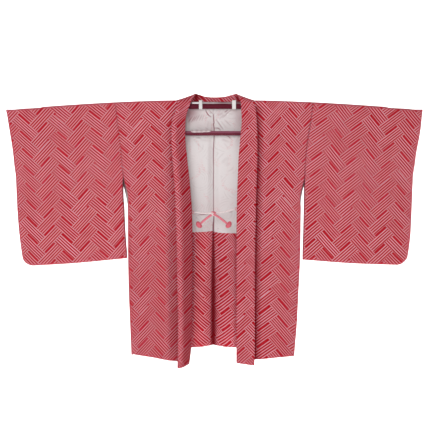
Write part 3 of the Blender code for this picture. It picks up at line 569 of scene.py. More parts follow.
# Painted shade: how much darker the cloth is painted in a fold or beside an edge that stands on it; below 0,
# painted light
bodyShades = {
    # height, left, right
    "besideLeaf": mm([(-30, 0.15, 0.36), (-300, 0.18, 0.42), (-600, 0.22, 0.5), (-790, 0.26, 0.55)], 1, 2),
    "leafStart": 0.0010, "leafSpread": 0.0052,
    "leafWide": {"left": 0.06, "right": 0.44}, "leafWideSpread": 0.0175,
    # painted light: the inside of the back, seen between the fronts, is painted lighter
    "inside": {"left": -0.26, "right": -0.12},
    "armhole": {"left": 0.16, "right": 0.30}, "armholeSpread": 0.0022, "dot": 0.0095,
    "pleat": 0.20, "pleatSpread": 0.0200,
    "valley": 0.97, "valleyShare": 1.35,
    # painted shade, darker towards the bottom of the fronts
    "lowFront": {"left": 0.08, "right": 0.03}, "lowFrom": -0.30, "lowRun": 0.30,
    # painted shadow on the inside of the back beside the collar's edges: place, spread, how dark
    "insideEdge": {"left": (0.0708, 0.0050, 0.40), "right": (0.0672, 0.0045, 0.42)},
}
# where the lining ends, from left to right
liningEnd = mm([
    (-300, -396.8), (-72, -396.8), (-30, -395.6), (-6.2, -393.4), (0, -394.4), (22.5, -399), (68, -400.4),
    (300, -400.4),
])
rodSizes = {
    "height": 0.0160, "bendStart": 0.0880, "bendEnd": 0.1100, "rise": 0.0090, "drop": 0.0195, "bow": 1.6,
    "armEnd": 0.5260, "tipHeight": 0.0110, "tipEnd": 0.5860, "tipDrop": 0.0035,
    "tipStep": (0.5300, 0.0240), "clothRest": 0.0008, "freeDrop": (0.0035, 0.0500),
}

sideX = bySide(bodySizes["sideEdge"])
frontHemZ = bySide(bodySizes["frontHem"])
frontSwell = bySide(bodySizes["frontSwell"])
backSwell = column(bodySizes["backSwell"], 1)
pleatDepth, pleatHalfWidth = (column(bodySizes["backPleat"], k) for k in (1, 2))
valleyDepth, valleyWidth = (column(bodySizes["backValley"], k) for k in (1, 2))
leafShade = bySide(bodyShades["besideLeaf"])
liningEndZ = column(liningEnd, 1)
shoulderRadius = bodySizes["shoulderRadius"]
neckPointX, neckPointZ = bodySizes["neckPoint"]


def rodZ(x):
    s = rodSizes
    bend = s["rise"] * eased((x - s["bendStart"]) / (s["bendEnd"] - s["bendStart"]))
    run = (np.clip(x, s["bendEnd"], s["armEnd"]) - s["bendEnd"]) / (s["armEnd"] - s["bendEnd"])
    return bend - s["drop"] * run ** s["bow"]


def crestZ(x):
    s = rodSizes
    run = (np.clip(x, s["armEnd"], s["tipEnd"]) - s["armEnd"]) / (s["tipEnd"] - s["armEnd"])
    onTip = rodZ(s["armEnd"]) - s["tipDrop"] * run + s["tipHeight"] / 2
    onRod = rodZ(x) + s["height"] / 2
    top = between(onRod, onTip, eased((x - s["tipStep"][0]) / s["tipStep"][1]))
    freeDrop = s["freeDrop"][0] * eased((x - s["tipEnd"]) / s["freeDrop"][1])
    return top + s["clothRest"] + bodySizes["wall"] / 2 - freeDrop


def sideHalfDepth(z):
    growth = (np.maximum(-z, 0.0) / -bodySizes["hem"]) ** bodySizes["depthPower"]
    return shoulderRadius + (bodySizes["hemHalfDepth"] - shoulderRadius) * growth


def fall(z):
    return np.clip((neckPointZ - z) / (neckPointZ - bodySizes["hem"]), 0.0, 1.0)


def overShoulder(below):
    below = np.clip(below, 0.0, shoulderRadius)
    return np.sqrt(np.maximum(shoulderRadius**2 - (shoulderRadius - below) ** 2, 0.0))


def neckline(x):
    share = eased((neckPointX - x) / bodySizes["neckCurve"])
    return bodySizes["neckline"][0] * share, between(neckPointZ, bodySizes["neckline"][1], share)


def frontY(side, share, z, crest):
    swell = frontSwell[side](share) * fall(z) ** bodySizes["frontPower"]
    return -(overShoulder(crest - z) + sideHalfDepth(z) - shoulderRadius + swell)


def backY(side, x, z, crest):
    share = np.minimum(x / sideX[side](z), 1.0)
    depth = overShoulder(crest - z)
    depth = np.where(x < neckPointX, np.maximum(depth, neckline(x)[0]), depth)
    height, length, start = bodySizes["ripple"]
    ripple = height * np.sin(tau * x / length + start) * share * (1 - share) * 4
    swell = (backSwell(share) + ripple) * fall(z) ** bodySizes["backPower"]
    pleat = pleatDepth(z) * (1 - eased(x / pleatHalfWidth(z)))
    valley = valleyDepth(z) * bell(x, valleyWidth(z))
    return depth + sideHalfDepth(z) - shoulderRadius + swell + pleat + valley


# The centre back seam hangs a little to the left of the middle
def toSeam(sign, x, z, crest):
    shift = sign * bodySizes["seamAt"] * eased((crest - z) / bodySizes["seamRun"])
    return x + shift * np.clip(1 - x / sideX["left"](z), 0, 1)


collarSizes = {
    "wall": 0.0018,
    "overlap": 0.0060,
    # height, forward bulge of the outer leaf left, right, and where across the leaf it is highest
    "bulge": mm([
        (50, -1, -1), (15, 0.5, 0.5), (-50, 7.5, 4), (-300, 8.5, 3), (-650, 9.5, 3), (-813, 12, 3),
    ]),
    "bulgeAt": {"left": 0.40, "right": 0.50},
    "foldRadius": 0.0022,
    "overhang": (0.0042, 0.0038),
    # height, fold out from the middle, fold depth, free edge out, free edge depth
    "left": mm([
        (8.5, 75.5, -14, 116, -19), (-12.6, 84.2, -14.7, 120.3, -21), (-44.4, 91.5, -15, 132.8, -24.5),
        (-99, 92.5, -16, 135.8, -27.5), (-154, 87.5, -17.5, 132.5, -29.5), (-217.3, 80.5, -19, 127.2, -32),
        (-270, 75.5, -20.5, 123.4, -34.5), (-325, 71.5, -21.5, 121, -36.5), (-441, 69, -24, 117.6, -41),
        (-558, 70, -26.2, 115.2, -45), (-674, 71.2, -28, 113.3, -48.5),
        (-751.6, 73.4, -29.2, 113.4, -50.5), (-813, 81.5, -30, 114.5, -52),
    ]),
    "right": mm([
        (8.5, 82.5, -14, 123.5, -18.5), (-12.6, 84.3, -14.7, 129, -20.5),
        (-44.4, 85.7, -15.3, 131.5, -22.5), (-99, 81.2, -17, 133.6, -24.5),
        (-154, 76.5, -19, 133.6, -26.5), (-217.3, 73.5, -21, 131.8, -28.2), (-270, 71.5, -23, 130, -29.7),
        (-325, 70, -25, 128.5, -31), (-441, 68.6, -28.8, 126.2, -34), (-558, 68.4, -32, 125.2, -37),
        (-674, 68.4, -34.5, 125, -39.5), (-751.6, 68.4, -35.8, 124.6, -40.8),
        (-813, 68.4, -37, 122.2, -42),
    ]),
    "end": {"left": (-0.8050, -0.8145), "right": (-0.8010, -0.8080)},
    # round the neck: fold x y z, free edge x y z
    "neck": mm([
        (69, -9, 24.5, 119, -10, 17.2), (61, 1, 36.5, 117, 4, 19.6), (57, 11, 40, 109, 19, 9),
        (45, 18, 37.5, 90, 25, -2), (29, 20.5, 33.2, 60, 26.5, -14), (14, 21.5, 31.6, 29, 26.5, -21),
    ]),
    "neckMiddle": (0.0, 0.0220, 0.0312, 0.0, 0.0260, -0.0235),
    "neckStretch": {"left": 1.0, "right": 1.13},
    "neckSeamX": (0.0880, 0.0670, 0.0430, 0.0200),
    "turnFrom": -0.0450, "turnLength": 0.0500,
    # the nape's band: from, to, place in the pattern, height
    "neckGrain": (-0.0570, 0.0690, 0.0962, 0.0230),
    "coarser": 0.03,
    # place across, spread, depth of shade, from what height
    "pockets": mm([(-58.5, 8.5, 0.95, 5), (-43, 10, 0.35, 5), (74, 7.5, 0.95, 5)], 2),
    # down from what height, how dark
    "edgeShadow": {"left": (-0.2000, 0.55), "right": (-0.3000, 0.55)}, "edgeShadowRun": 0.15,
    "leafShadeFrom": -0.06, "rightShade": 0.06,
    # columns across the band: where its inside starts to darken, the edge's shadow, the shaded leaf
    "insideColumns": (16, 3), "edgeColumns": (19.5, 3.0), "leafFade": (2, 5, 19),
    # rows of the fronts' ends and the place at the neck point that the way round the neck starts from
    "joinRows": (-17, -9, -1), "neckPointSeam": (0.0030, 0.0010, 0.0012),
    "leafShade": mm([(10, 0.17), (-60, 0.28), (-400, 0.49), (-800, 0.53)], 1),
    "stations": 200, "neckStations": 82,
    "leafColumns": 14, "foldColumns": 9, "seamColumns": 10,
}
collarCurves = {side: [column(collarSizes[side], k) for k in range(1, 5)] for side in signs}


def seamX(side, z):
    alongNeck = neckPointX + bodySizes["neckCutSlope"] * (neckPointZ - z)
    return np.minimum(collarCurves[side][2](z) - collarSizes["overlap"], alongNeck)


# How the grain lies on each panel: where the pattern starts and how it turns and bends
# centre of the panel as seen (m), shift across and along (m), turn (degrees), scale, bends
grain = {
    "body_left": ((-0.2000, -0.3739), (0.0649, 0.0414), 1.49, (1.050, 1.012), (0.97, -1.26, 1.21, 0.03)),
    "body_right": ((0.2032, -0.3623), (0.0728, 0.0050), -3.17, (1.007, 0.995), (-0.38, 2.24, 5.64, -4.19)),
    "sleeve_left": ((-0.4583, -0.2375), (-0.0008, 0.0326), 3.5, (0.993, 0.994), (1.1, -0.36, -2.48, -0.46)),
    "sleeve_right": ((0.4520, -0.2363), (0.0688, 0.0360), -5.6, (0.996, 1.002), (-1.69, -0.3, -1.7, 1.54)),
    "collar_left": ((-0.0932, -0.3147), (0.0343, 0.0469), 2.32, (1.040, 1.011), (0.85, -1.44, -0.55, -1.12)),
    "collar_right": ((0.1027, -0.4082), (0.0601, 0.0384), -0.97, (1.041, 1.015), (-0.11, 1.12, 1.02, -1.04)),
}


def layGrain(name, x, z):
    (midX, midZ), (shiftU, shiftV), turn, (scaleU, scaleV), bends = grain[name]
    dx, dz = x - midX, z - midZ
    c, s = cos(radians(turn)), sin(radians(turn))
    gx, gz = np.clip(dx * 10, -2.6, 2.6), np.clip(dz * 10, -4.2, 4.2)
    u = (c * dx + s * dz) * scaleU + shiftU + (bends[0] * gz * gz + bends[1] * gx * gz) / 1000
    v = (-s * dx + c * dz) * scaleV + shiftV + (bends[2] * gx * gx + bends[3] * gx * gz) / 1000
    return np.stack([u, v], axis=-1)


# Soft folds pressed into the fronts and the back: x0 z0 x1 z1 width height bow
bodyFolds = {
    "left": mm([(-128, -80, -126, -790, 12, -4.5, 2), (-152, -30, -140, -420, 16, -2, 4)]),
    "right": mm([(140, -50, 136, -780, 12, -3.5, 0), (168, -30, 160, -350, 18, -1.5, 4)]),
    "back": mm([
        (-90, -120, -60, -700, 22, -3, 6), (100, -160, 70, -740, 24, -3, -6),
        (-190, -60, -170, -420, 18, -1.8, 4), (200, -80, 180, -480, 20, -2, -5),
        (-20, -60, 20, -340, 20, 1.5, 0),
    ]),
}


# Heights of the rows below a crest, and the length of cloth down to them
def hangingRows(crest, hem):
    turns = np.linspace(0, pi / 2, bodySizes["turnSteps"] + 1)[:, None]
    down = np.linspace(0, 1, bodySizes["rows"])[1:, None]
    below = between(crest - shoulderRadius, hem, down)
    z = np.concatenate([crest - shoulderRadius * (1 - np.cos(turns)), below])
    onTurn = shoulderRadius * turns + 0 * crest
    return z, np.concatenate([onTurn, (pi / 2 - 1) * shoulderRadius + crest - below])


def makeBody(side):
    s, shades, sign = bodySizes, bodyShades, signs[side]
    outer = float(sideX[side](neckPointZ))
    stripWidth = (outer - neckPointX) / s["strips"]
    share = np.linspace(0, 1, s["columns"])
    frontX = between(outer, neckPointX, share)
    lastStrip = np.clip((share - 1) * s["strips"] + 1, 0, 1)
    crest = between(crestZ(frontX), neckPointZ, lastStrip)
    unturned = (pi / 2 - 1) * shoulderRadius
    # front, from the shoulder down
    z, length = hangingRows(crest, frontHemZ[side](share))
    x = between(sideX[side](z), seamX(side, z) + s["seamGap"], share)
    atTop = np.clip(1 - np.linspace(0, 3, s["turnSteps"] + 1), 0, 1)[:, None]
    x[: len(atTop)] = between(x[: len(atTop)], frontX, atTop)
    y = frontY(side, share, z, crest)
    y[0] = 0.0
    gape = s["gape"][side] * bell(z - s["gapeAt"], s["gapeSpread"]) * (z > s["slitEnd"] - 0.004)
    x = x - gape * np.clip(1 - share * 6, 0, 1)
    y = y - foldField(sign * x, z, bodyFolds[side]) * eased((crest - z) / s["frontFoldRun"])
    front = np.stack([sign * x, y, z], axis=-1)[:0:-1]
    seenZ = asSeen(crest + unturned - length, y, "height")
    frontCloth = layGrain(f"body_{side}", asSeen(sign * x, y), seenZ)[:0:-1]
    # painted shadow beside the collar's free edge, and painted shade darker towards the bottom
    pastLeaf = x - collarCurves[side][2](z) - shades["leafStart"]
    shadow = leafShade[side](z) * bell(pastLeaf, shades["leafSpread"])
    shadow += shades["leafWide"][side] * bell(pastLeaf, shades["leafWideSpread"], 4)
    shadow += shades["lowFront"][side] * eased((shades["lowFrom"] - z) / shades["lowRun"])
    frontShadow = (shadow * (z < 0) + armholeShade(side, sideX[side](z) - x, z))[:0:-1]
    # back, from the shoulder and the neckline down
    neckX = neckPointX * (1 - np.linspace(0, 1, s["neckColumns"] + 1)[1:]) ** s["neckCrowding"]
    topX = np.concatenate([frontX, neckX])
    backShare = topX / outer
    blend = np.clip(1 - (topX - neckPointX) / stripWidth, 0, 1)
    crest = np.where(topX < neckPointX, neckline(topX)[1], between(crestZ(topX), neckPointZ, blend))
    z, length = hangingRows(crest, s["hem"] + s["backHemRise"] * (1 - eased(backShare)))
    fromSeam = sideX[side](z) * backShare
    y = backY(side, fromSeam, z, crest)
    y[0] = np.where(topX < neckPointX, neckline(topX)[0], 0.0)
    x = toSeam(sign, fromSeam, z, crest)
    x[0] = topX
    x[:, -1] += s["seamGap"]
    y = y + foldField(sign * x, z, bodyFolds["back"]) * eased((crest - z) / s["backFoldRun"])
    back = np.stack([sign * x, y, z], axis=-1)
    backCloth = layGrain(f"body_{side}", sign * x, crest + unturned + length) + (s["backShift"][side], 0.0)
    # painted shade in the pleat and the seam's fold, painted shadow beside the collar's edges, and painted
    # light on the rest of the inside
    shadow = shades["pleat"] * bell(fromSeam, shades["pleatSpread"])
    shadow = between(shadow, shades["valley"], bell(fromSeam, valleyWidth(z) * shades["valleyShare"]))
    place, spread, depth = shades["insideEdge"][side]
    shadow += depth * bell(x - place, spread)
    shadow += shades["inside"][side] * (shadow < 0.4)
    backShadow = shadow * (z < liningEndZ(sign * x))
    # one mesh, the front upwards and then the back downwards
    shoulder = front[..., 0].size
    faces = gridFaces(*front.shape[:2]) + gridFaces(*back.shape[:2], first=shoulder)
    last = shoulder - len(share)
    for c in range(len(share) - 1):
        faces.append([last + c, last + c + 1, shoulder + c + 1, shoulder + c])
    halves = ((front, back, 3), (frontCloth, backCloth, 2), (frontShadow, backShadow, 1))
    points, cloth, shadow = (joined(*both, size) for *both, size in halves)
    stored = {"shadow": np.clip(shadow, -0.4, 0.95), "coarser": np.full(len(shadow), s["coarser"][side])}
    piece = addPiece(f"bodyCloth_{side}", points, faces, cloth, stored)
    dress(piece, crepe, "crepe", f"body_{side}", wall=s["wall"])


# Painted shade: small dark dots along the armhole's seam, for the dimples that its stitches pull
def armholeShade(side, fromSeam, z):
    dots = 0.75 + 0.25 * np.sin(z * tau / bodyShades["dot"])
    near = bell(fromSeam, bodyShades["armholeSpread"])
    return bodyShades["armhole"][side] * dots * near * (z > bodySizes["armholeEnd"])


# A few stitches hold the end of each side slit
tackSizes = {"Step": 0.0012, "Length": 0.0016, "Thickness": 0.0007, "Unevenness": 0.2}
# how far below the slit's end, from and to in shares of the front, how far out, and the line's small wave
tackPlace = {"below": 0.0010, "shares": (0.004, 0.030), "out": 0.0003, "wave": (0.0004, 400)}


def tackSlit(side):
    place, (height, turns) = tackPlace, tackPlace["wave"]
    z = bodySizes["slitEnd"] - place["below"]
    share = np.linspace(*place["shares"], 6)
    x = between(float(sideX[side](z)), float(seamX(side, z)), share)
    y = frontY(side, share, z + 0 * share, neckPointZ) - bodySizes["wall"] / 2 - place["out"]
    line = np.stack([signs[side] * x, y, z + height * np.sin(share * turns)], axis=-1)
    sewStitches(f"slitTack_{side}", line, "red", tackSizes)


for side in signs:
    makeBody(side)
for side in signs:
    tackSlit(side)
print("body lengths cut")

# The back lining, inside the back from the neckline to the turned-up hem of the cloth
liningSizes = {
    "wall": 0.0010, "gap": 0.0005, "sideInset": 0.0040, "topDrop": 0.0015, "rise": (0.0920, 0.0200),
    "openTo": 0.1000, "foldHeight": 0.0030, "creaseShare": 1.35,
    "slitShare": {"left": 1.0, "right": 0.8}, "slitRun": 0.0060,
    # the fold at the lower edge, painted lighter as a highlight: height above it, half width, how much
    # painted highlight it gets
    "edgeFold": (0.0022, 0.0020, -0.7),
    "stitches": {"Step": 0.0078, "Length": 0.0026, "Thickness": 0.0006, "Unevenness": 0.3},
    "sideColumns": 26, "openColumns": 84, "rows": 262,
}
# In the side slits: height, how far past the body's edge, how dark the lining is painted there as shade
liningInSlit = mm([
    (-215, -4, 0), (-222.5, 3.5, 1), (-241.3, 7.2, 1), (-248, 7.8, 1), (-253.9, 5.4, 1),
    (-263.3, 4.2, 0.8), (-272.8, 3.8, 0.42), (-282.2, 3.4, 0.26), (-291.7, 2.9, 0.2), (-304, 3.5, 0.26),
    (-307.5, -4, 0),
], 2)
# Small creases as seen: x0 z0 x1 z1 width, painted shade (above 0) or raised and painted lighter as a
# highlight (below 0), bow
liningCreases = mm([
    (-28.4, -9.8, -10.7, -33.7, 2, 0.72, 3), (-21.7, -13.2, -10.1, -26.8, 2.6, -0.55, 1.5),
    (-16.7, -9.8, -4.7, -23, 1.6, 0.34, 2), (4.7, -41, 27.1, -72.5, 2, 0.42, 0),
    (9.5, -40.3, 30.9, -70.6, 2, -0.25, 0), (0, -68.7, 19.8, -75.6, 1.9, 0.6, -3.4),
    (1.9, -75.3, 8.8, -75.3, 2.2, -0.5, 0), (43.2, -10.4, 30.9, -18.9, 2, 0.5, 0),
    (52.9, -10.7, 35.9, -24.9, 2.2, 0.3, 0), (48.5, -17.6, 37.8, -27.7, 1.8, -0.3, 0),
    (41, -21.7, 24.3, -36.2, 2, 0.24, 0), (30.2, -25.8, 13.9, -40.3, 2, 0.18, 0),
    (26.5, -18.3, 9.1, -30.9, 2.2, 0.14, 0), (30.2, -41, 51.3, -61.7, 1.8, 0.22, 0),
    (20.2, -46, 37.5, -68, 1.8, 0.12, 0), (-26.5, -26.5, -29.6, -44.7, 1.6, 0.14, 0),
    (-33.7, -25.8, -40.3, -46, 1.6, 0.22, 0), (-38.4, -24.6, -48.5, -45.4, 1.6, 0.26, 0),
    (-46.6, -25.8, -58.6, -46, 1.6, 0.28, 0), (-54.8, -29, -66.2, -47.3, 1.6, 0.26, 0),
    (-61.7, -32.1, -73.7, -50.4, 1.6, 0.32, 0), (-69.9, -31.8, -83.8, -51, 1.6, 0.3, 0),
    (-19.2, -46, -22.4, -66.5, 2.2, 0.1, 0), (-30.2, -66.8, -19.2, -72.5, 1.8, 0.2, 0),
    (40.6, -93.2, 50.4, -100.8, 1.8, 0.55, 0), (32.8, -95.8, 46, -99.5, 1.8, -0.45, 0),
    (50.4, -95.1, 58.6, -96.4, 1.8, -0.4, 0), (-63.3, -94.5, -37.2, -94.8, 1.6, -0.35, 0),
    (-30.2, -94.5, -11.3, -95.1, 1.6, -0.35, 0), (-59.9, -98.9, -44.1, -99.2, 1.8, 0.38, 0),
    (-35, -98.6, -15.1, -98, 1.6, 0.22, 0), (-46, -105.8, -9.8, -109, 3.5, 0.1, 0),
    (23.3, -104.3, 48.5, -112.1, 4, 0.14, 0), (-66.5, -104.3, -35, -135.8, 1.8, 0.1, 1),
    (29.6, -115.3, 45.4, -134.2, 2.2, 0.1, 0), (-15.1, -99.5, -15.8, -250.7, 7.5, 0.09, 0),
    (1.9, -94.2, 1.9, -124.7, 1.7, -0.6, 0), (1.9, -39.7, 2.2, -52.9, 1.9, -0.55, 0),
    (1.3, -124.7, 1.6, -178.3, 1.6, -0.2, 0), (0.9, -178.3, 0.9, -222.4, 1.7, -0.55, 0),
    (0.9, -222.4, 0.9, -313.7, 1.6, -0.15, 0), (-53.6, -341.5, -22.1, -340.2, 2.8, 1, -0.5),
    (-23.9, -340.2, -10.1, -338.6, 1.8, 0.5, 0), (-51, -342.7, -65.5, -359.1, 3, 0.52, 0),
    (-20.8, -345.9, -6.9, -371.1, 2.6, 0.4, 0), (11.3, -354.7, 11, -361.6, 3.6, 0.38, 0),
    (11.3, -361, 10.7, -381.8, 2.4, 0.16, 0), (11.3, -381.8, 10.1, -388.1, 3.4, 0.42, 0),
    (31.5, -350.3, 55.4, -363.5, 2.6, 0.34, -2), (56.1, -362.9, 57.3, -367.3, 2.8, 0.34, 0),
    (64.3, -362.6, 65.5, -384.6, 4.6, 0.34, 0), (41.6, -335.2, 61.7, -329.5, 2.4, 0.62, 0),
    (13.9, -338.6, 40.3, -338.6, 3.8, 0.28, 0), (40.3, -338.9, 50.4, -352.8, 4, -0.35, 0),
    (-64.3, -365.7, -66.2, -389.3, 4.6, 0.16, 0), (-17, -370.4, -8.2, -392.5, 3, 0.12, 0),
], 5)
# Wide soft painted shades, painted light where below 0: x z, half width, half height, how dark
liningShades = mm([
    (23.3, -36.5, 126, 37.8, 0.09), (-75.9, -14.5, 28.4, 25.2, 0.2), (-19.2, 13.9, 15.8, 6.9, 0.42),
    (24.9, 13.9, 26.8, 8.2, 0.9), (70.6, 13.9, 18.9, 8.2, 1.1), (-1.9, -338.9, 126, 69.3, -0.42),
    (-55.4, -383, 37.8, 25.2, -0.2), (-75.9, -17.6, 26.8, 26.8, 0.52), (-83.8, -46, 12.6, 25.2, 0.26),
    (78.4, -36.5, 16.4, 50.4, 0.4), (59.5, -11.3, 11, 9.5, 0.22), (-83.8, -102.7, 14.5, 14.2, 0.3),
    (-82.2, -143.6, 10.7, 50.4, 0.1), (-68, -279.1, 25.2, 81.9, -0.35), (76.2, -109, 12, 28.4, 0.14),
    (73.7, -168.8, 10.1, 50.4, 0.08), (65.8, -263.3, 10.1, 69.3, -0.25), (20.2, -17.6, 25.2, 12.6, 0.16),
    (-16.1, -55.4, 15.8, 18.9, 0.08), (35.9, -64.9, 25.2, 15.8, 0.08), (-49.1, -61.7, 28.4, 15.8, 0.1),
], 4)
# The centre seam: height, place across, half width, how dark
liningSeam = mm([
    (-8.2, -4.4, 1.2, 0.1), (-22.1, -4.1, 1.4, 0.3), (-27.1, -3.5, 1.7, 0.8), (-41, -2.8, 1.8, 0.95),
    (-50.7, -1.6, 1.8, 0.95), (-56.7, -3.5, 1.8, 0.95), (-69.9, -1.3, 1.8, 0.95), (-93.2, -1.3, 1.8, 0.85),
    (-112.1, -2.2, 1.8, 0.85), (-137.3, -3.5, 1.9, 0.92), (-168.8, -3.8, 1.8, 0.9),
    (-200.3, -3.5, 1.7, 0.8), (-250.7, -3.8, 1.9, 0.85), (-263.3, -3.5, 1.7, 0.75),
    (-329.5, -3.5, 1.7, 0.8), (-348.4, -2.2, 1.8, 1), (-361, -2.8, 2, 1.15), (-373.6, -4.1, 2.6, 1.25),
    (-394.1, -4.1, 2.8, 1.35),
], 3)

# A slack fold of the lining lies over the lower bar on the left
lapSizes = {
    "from": -0.0760, "to": -0.0075, "columns": 60, "rows": 16,
    # share of the way round: depth, height
    "round": mm([
        (0, 8.6, -72.8), (0.25, 2, -74.8), (0.45, -3.2, -75.6), (0.6, -5.8, -77.6), (0.8, -6.2, -81.2),
        (1, -5.6, -84.2),
    ], 0),
    # place across, share of the way that it reaches
    "reach": mm([
        (-76, 0.45), (-71.5, 0.9), (-62, 0.97), (-50, 0.93), (-40, 0.97), (-33, 0.84), (-24, 0.88),
        (-15, 0.76), (-7.5, 0.45),
    ], 1),
}


def lapOverBar():
    s = lapSizes
    x = np.linspace(s["from"], s["to"], s["columns"])
    share = np.linspace(0, 1, s["rows"])[:, None] * column(s["reach"], 1)(x)
    y, z = column(s["round"], 1)(share), column(s["round"], 2)(share)
    x = x + 0 * share
    # painted shade on the lap, darker towards its far edge, with a ripple
    shadow = 0.36 + 0.34 * eased((share - 0.70) / 0.25) + 0.12 * np.sin(x * 420)
    return np.stack([x, y, z], axis=-1), np.stack([x, z - y], axis=-1), shadow


def makeLiningHalf(side):
    s, sign = liningSizes, signs[side]
    outer = float(sideX[side](neckPointZ))
    sidePart = np.linspace(outer - s["sideInset"], s["openTo"], s["sideColumns"])[:-1]
    topX = np.concatenate([sidePart, np.linspace(s["openTo"], 0.0, s["openColumns"])])
    crest = np.where(topX < neckPointX, neckline(topX)[1], crestZ(topX))
    neck = eased((s["rise"][0] - topX) / s["rise"][1])
    topZ = crest - s["topDrop"] - shoulderRadius * (1 - neck)
    end = liningEndZ(sign * topX)
    z = between(topZ, end, np.linspace(0, 1, s["rows"])[:, None])
    flat = sideX[side](z) * topX / outer
    heights, reaches, slitPaintedShade = zip(*liningInSlit[::-1])
    atSide = np.clip(1 - (flat[:, :1] - flat) / s["slitRun"], 0, 1)
    flat = flat + (np.interp(z, heights, reaches) + s["sideInset"]) * s["slitShare"][side] * atSide
    x = sign * toSeam(sign, flat, z, crest)
    outerFold = foldField(x, z, bodyFolds["back"]) * eased((crest - z) / bodySizes["backFoldRun"])
    y = backY(side, flat, z, crest) - (bodySizes["wall"] / 2 + s["gap"] + s["wall"] / 2) + outerFold
    seenX, seenZ = asSeen(x, y), asSeen(z, y, "height")
    shadow = foldField(seenX, seenZ, liningCreases) * s["creaseShare"]
    y = y + s["foldHeight"] * np.minimum(shadow, 0) * eased((z - end - 0.01) / 0.02)
    for atX, atZ, wide, high, depth in liningShades:
        shadow = shadow + depth * bell(seenX - atX, wide) * bell(seenZ - atZ, high)
    above, spread, light = s["edgeFold"]
    shadow = between(shadow, light, bell(z - end - above, spread))
    shadow = np.maximum(shadow, np.interp(z, heights, slitPaintedShade) * atSide)
    seamAt, seamWide, seamDark = (column(liningSeam, k)(seenZ) for k in (1, 2, 3))
    shadow = np.clip(between(shadow, seamDark, bell(seenX - seamAt, seamWide, 4)), -1, 1)
    hemLine = np.stack([x, y - s["wall"] / 2 - 0.0002, z], axis=-1)[-3, :-1]
    sewStitches(f"liningStitches_{side}", hemLine, "pale", s["stitches"])
    points, cloth, faces = np.stack([x, y, z], axis=-1), np.stack([x, z], axis=-1), gridFaces(*x.shape)
    if side == "left":
        lap, lapCloth, lapShadow = lapOverBar()
        faces += gridFaces(*lapShadow.shape, first=x.size)
        points, cloth = joined(points, lap, 3), joined(cloth, lapCloth, 2)
        shadow = joined(shadow, lapShadow, 1)
    piece = addPiece(f"liningCloth_{side}", points, faces, cloth, {"shadow": shadow})
    dress(piece, liningSatin, "lining", f"lining_{side}", wall=s["wall"])


for side in signs:
    makeLiningHalf(side)


# The gussets, narrow wedges below the side slits
gussetSizes = {"tuck": 0.0100, "rows": 120, "columns": 13, "grain": (0.013, 0.020)}


def makeGusset(side):
    s = gussetSizes
    z = between(bodySizes["slitEnd"], bodySizes["hem"], np.linspace(0, 1, s["rows"]))[:, None]
    across = np.linspace(-1, 1, s["columns"])
    half = sideHalfDepth(z) - bodySizes["wall"] / 2 - bodySizes["seamGap"]
    tuck = s["tuck"] * fall(z) * (1 - across**2)
    x = signs[side] * (sideX[side](z) - bodySizes["wall"] - tuck)
    y, z = half * across, z + 0 * x
    cloth = np.stack([y, z], axis=-1) + s["grain"]
    piece = addPiece(f"gussetCloth_{side}", np.stack([x, y, z], axis=-1), gridFaces(*x.shape), cloth)
    dress(piece, crepe, "crepe", f"gusset_{side}", wall=bodySizes["wall"])


for side in signs:
    makeGusset(side)
print("lining and gussets cut")

# The sleeves: one length each, folded at the top
sleeveSizes = {
    "cornerRadius": 0.0380,
    "endGap": 0.0023,
    "bottomRadius": 0.0030, "bottomFrom": 0.9446,
    "wave": (0.0030, 1.15), "waveStart": {"left": 0.4, "right": 1.7},
    "cuffNarrowing": (0.25, 0.85),
    "cuffPressed": 0.18, "cuffShut": (0.36, 0.10),
    "seamSpread": 0.3, "turnBlend": 0.0976,
    "hiddenFolds": 0.8, "foldRuns": (0.05, 0.06), "rodEndRuns": (0.012, 0.004), "meanDepth": 0.0100,
    # height, inner edge left, right
    "innerEdge": mm([
        (-220, 286.8, 283.2), (-245, 288.6, 282.7), (-270, 288.4, 282.8), (-295, 287.2, 282.4),
        (-315, 285.3, 282), (-340, 284.3, 281.5), (-410, 280.5, 279.5), (-477, 275, 277),
    ]),
    "outerEdge": mm([
        (-9.5, 655, 653.5), (-80, 644, 646.5), (-167.6, 632, 632.2), (-250, 625.2, 623.8),
        (-360, 620.2, 619.6), (-440, 614, 616), (-504, 606.5, 609),
    ]),
    "bottom": mm([(0, -477.5, -482), (0.5, -493, -494), (1, -503, -500)], 0),
    # share of the length, share of the body's depth at the seam, half depth further out
    "depth": mm([
        (0, 1, 8.8), (0.2, 1, 11.6), (0.4, 1, 13), (0.58, 0.99, 12.4), (0.72, 0.87, 10.8),
        (0.85, 0.7, 6.9), (1, 0.65, 4.6),
    ], 0, 1),
    # where the rod ends, painted shade of a small crease: place across, from and to (height), spread, how
    # dark
    "rodEnd": {"left": (0.5885, -0.004, -0.028, 0.0026, 0.40),
               "right": (0.5845, -0.004, -0.028, 0.0026, 0.45)},
    "coarser": {"left": 0.045, "right": 0.050},
    "columns": 88, "rows": 122, "turnSteps": 6, "foldSteps": 8, "crowding": 0.35,
}
sleeveInnerX = bySide(sleeveSizes["innerEdge"])
sleeveOuterX = bySide(sleeveSizes["outerEdge"])
sleeveBottomZ = bySide(sleeveSizes["bottom"])
sleeveSeamShare, sleeveBelly = (column(sleeveSizes["depth"], k) for k in (1, 2))
# Folds seen on the fronts of the sleeves: x0 z0 x1 z1 width height bow
sleeveFolds = {
    "left": mm([
        (-310, -20, -285, -215, 6, -0.4, 2), (-330, -430, -290, -380, 14, -2, 0),
        (-420, -60, -380, -440, 30, 2, 6),
    ]),
    "right": mm([
        (308, -20, 283, -215, 6, -0.8, -2), (350, -460, 300, -380, 14, -2, 0),
        (430, -60, 400, -440, 30, 2, -6),
    ]),
}


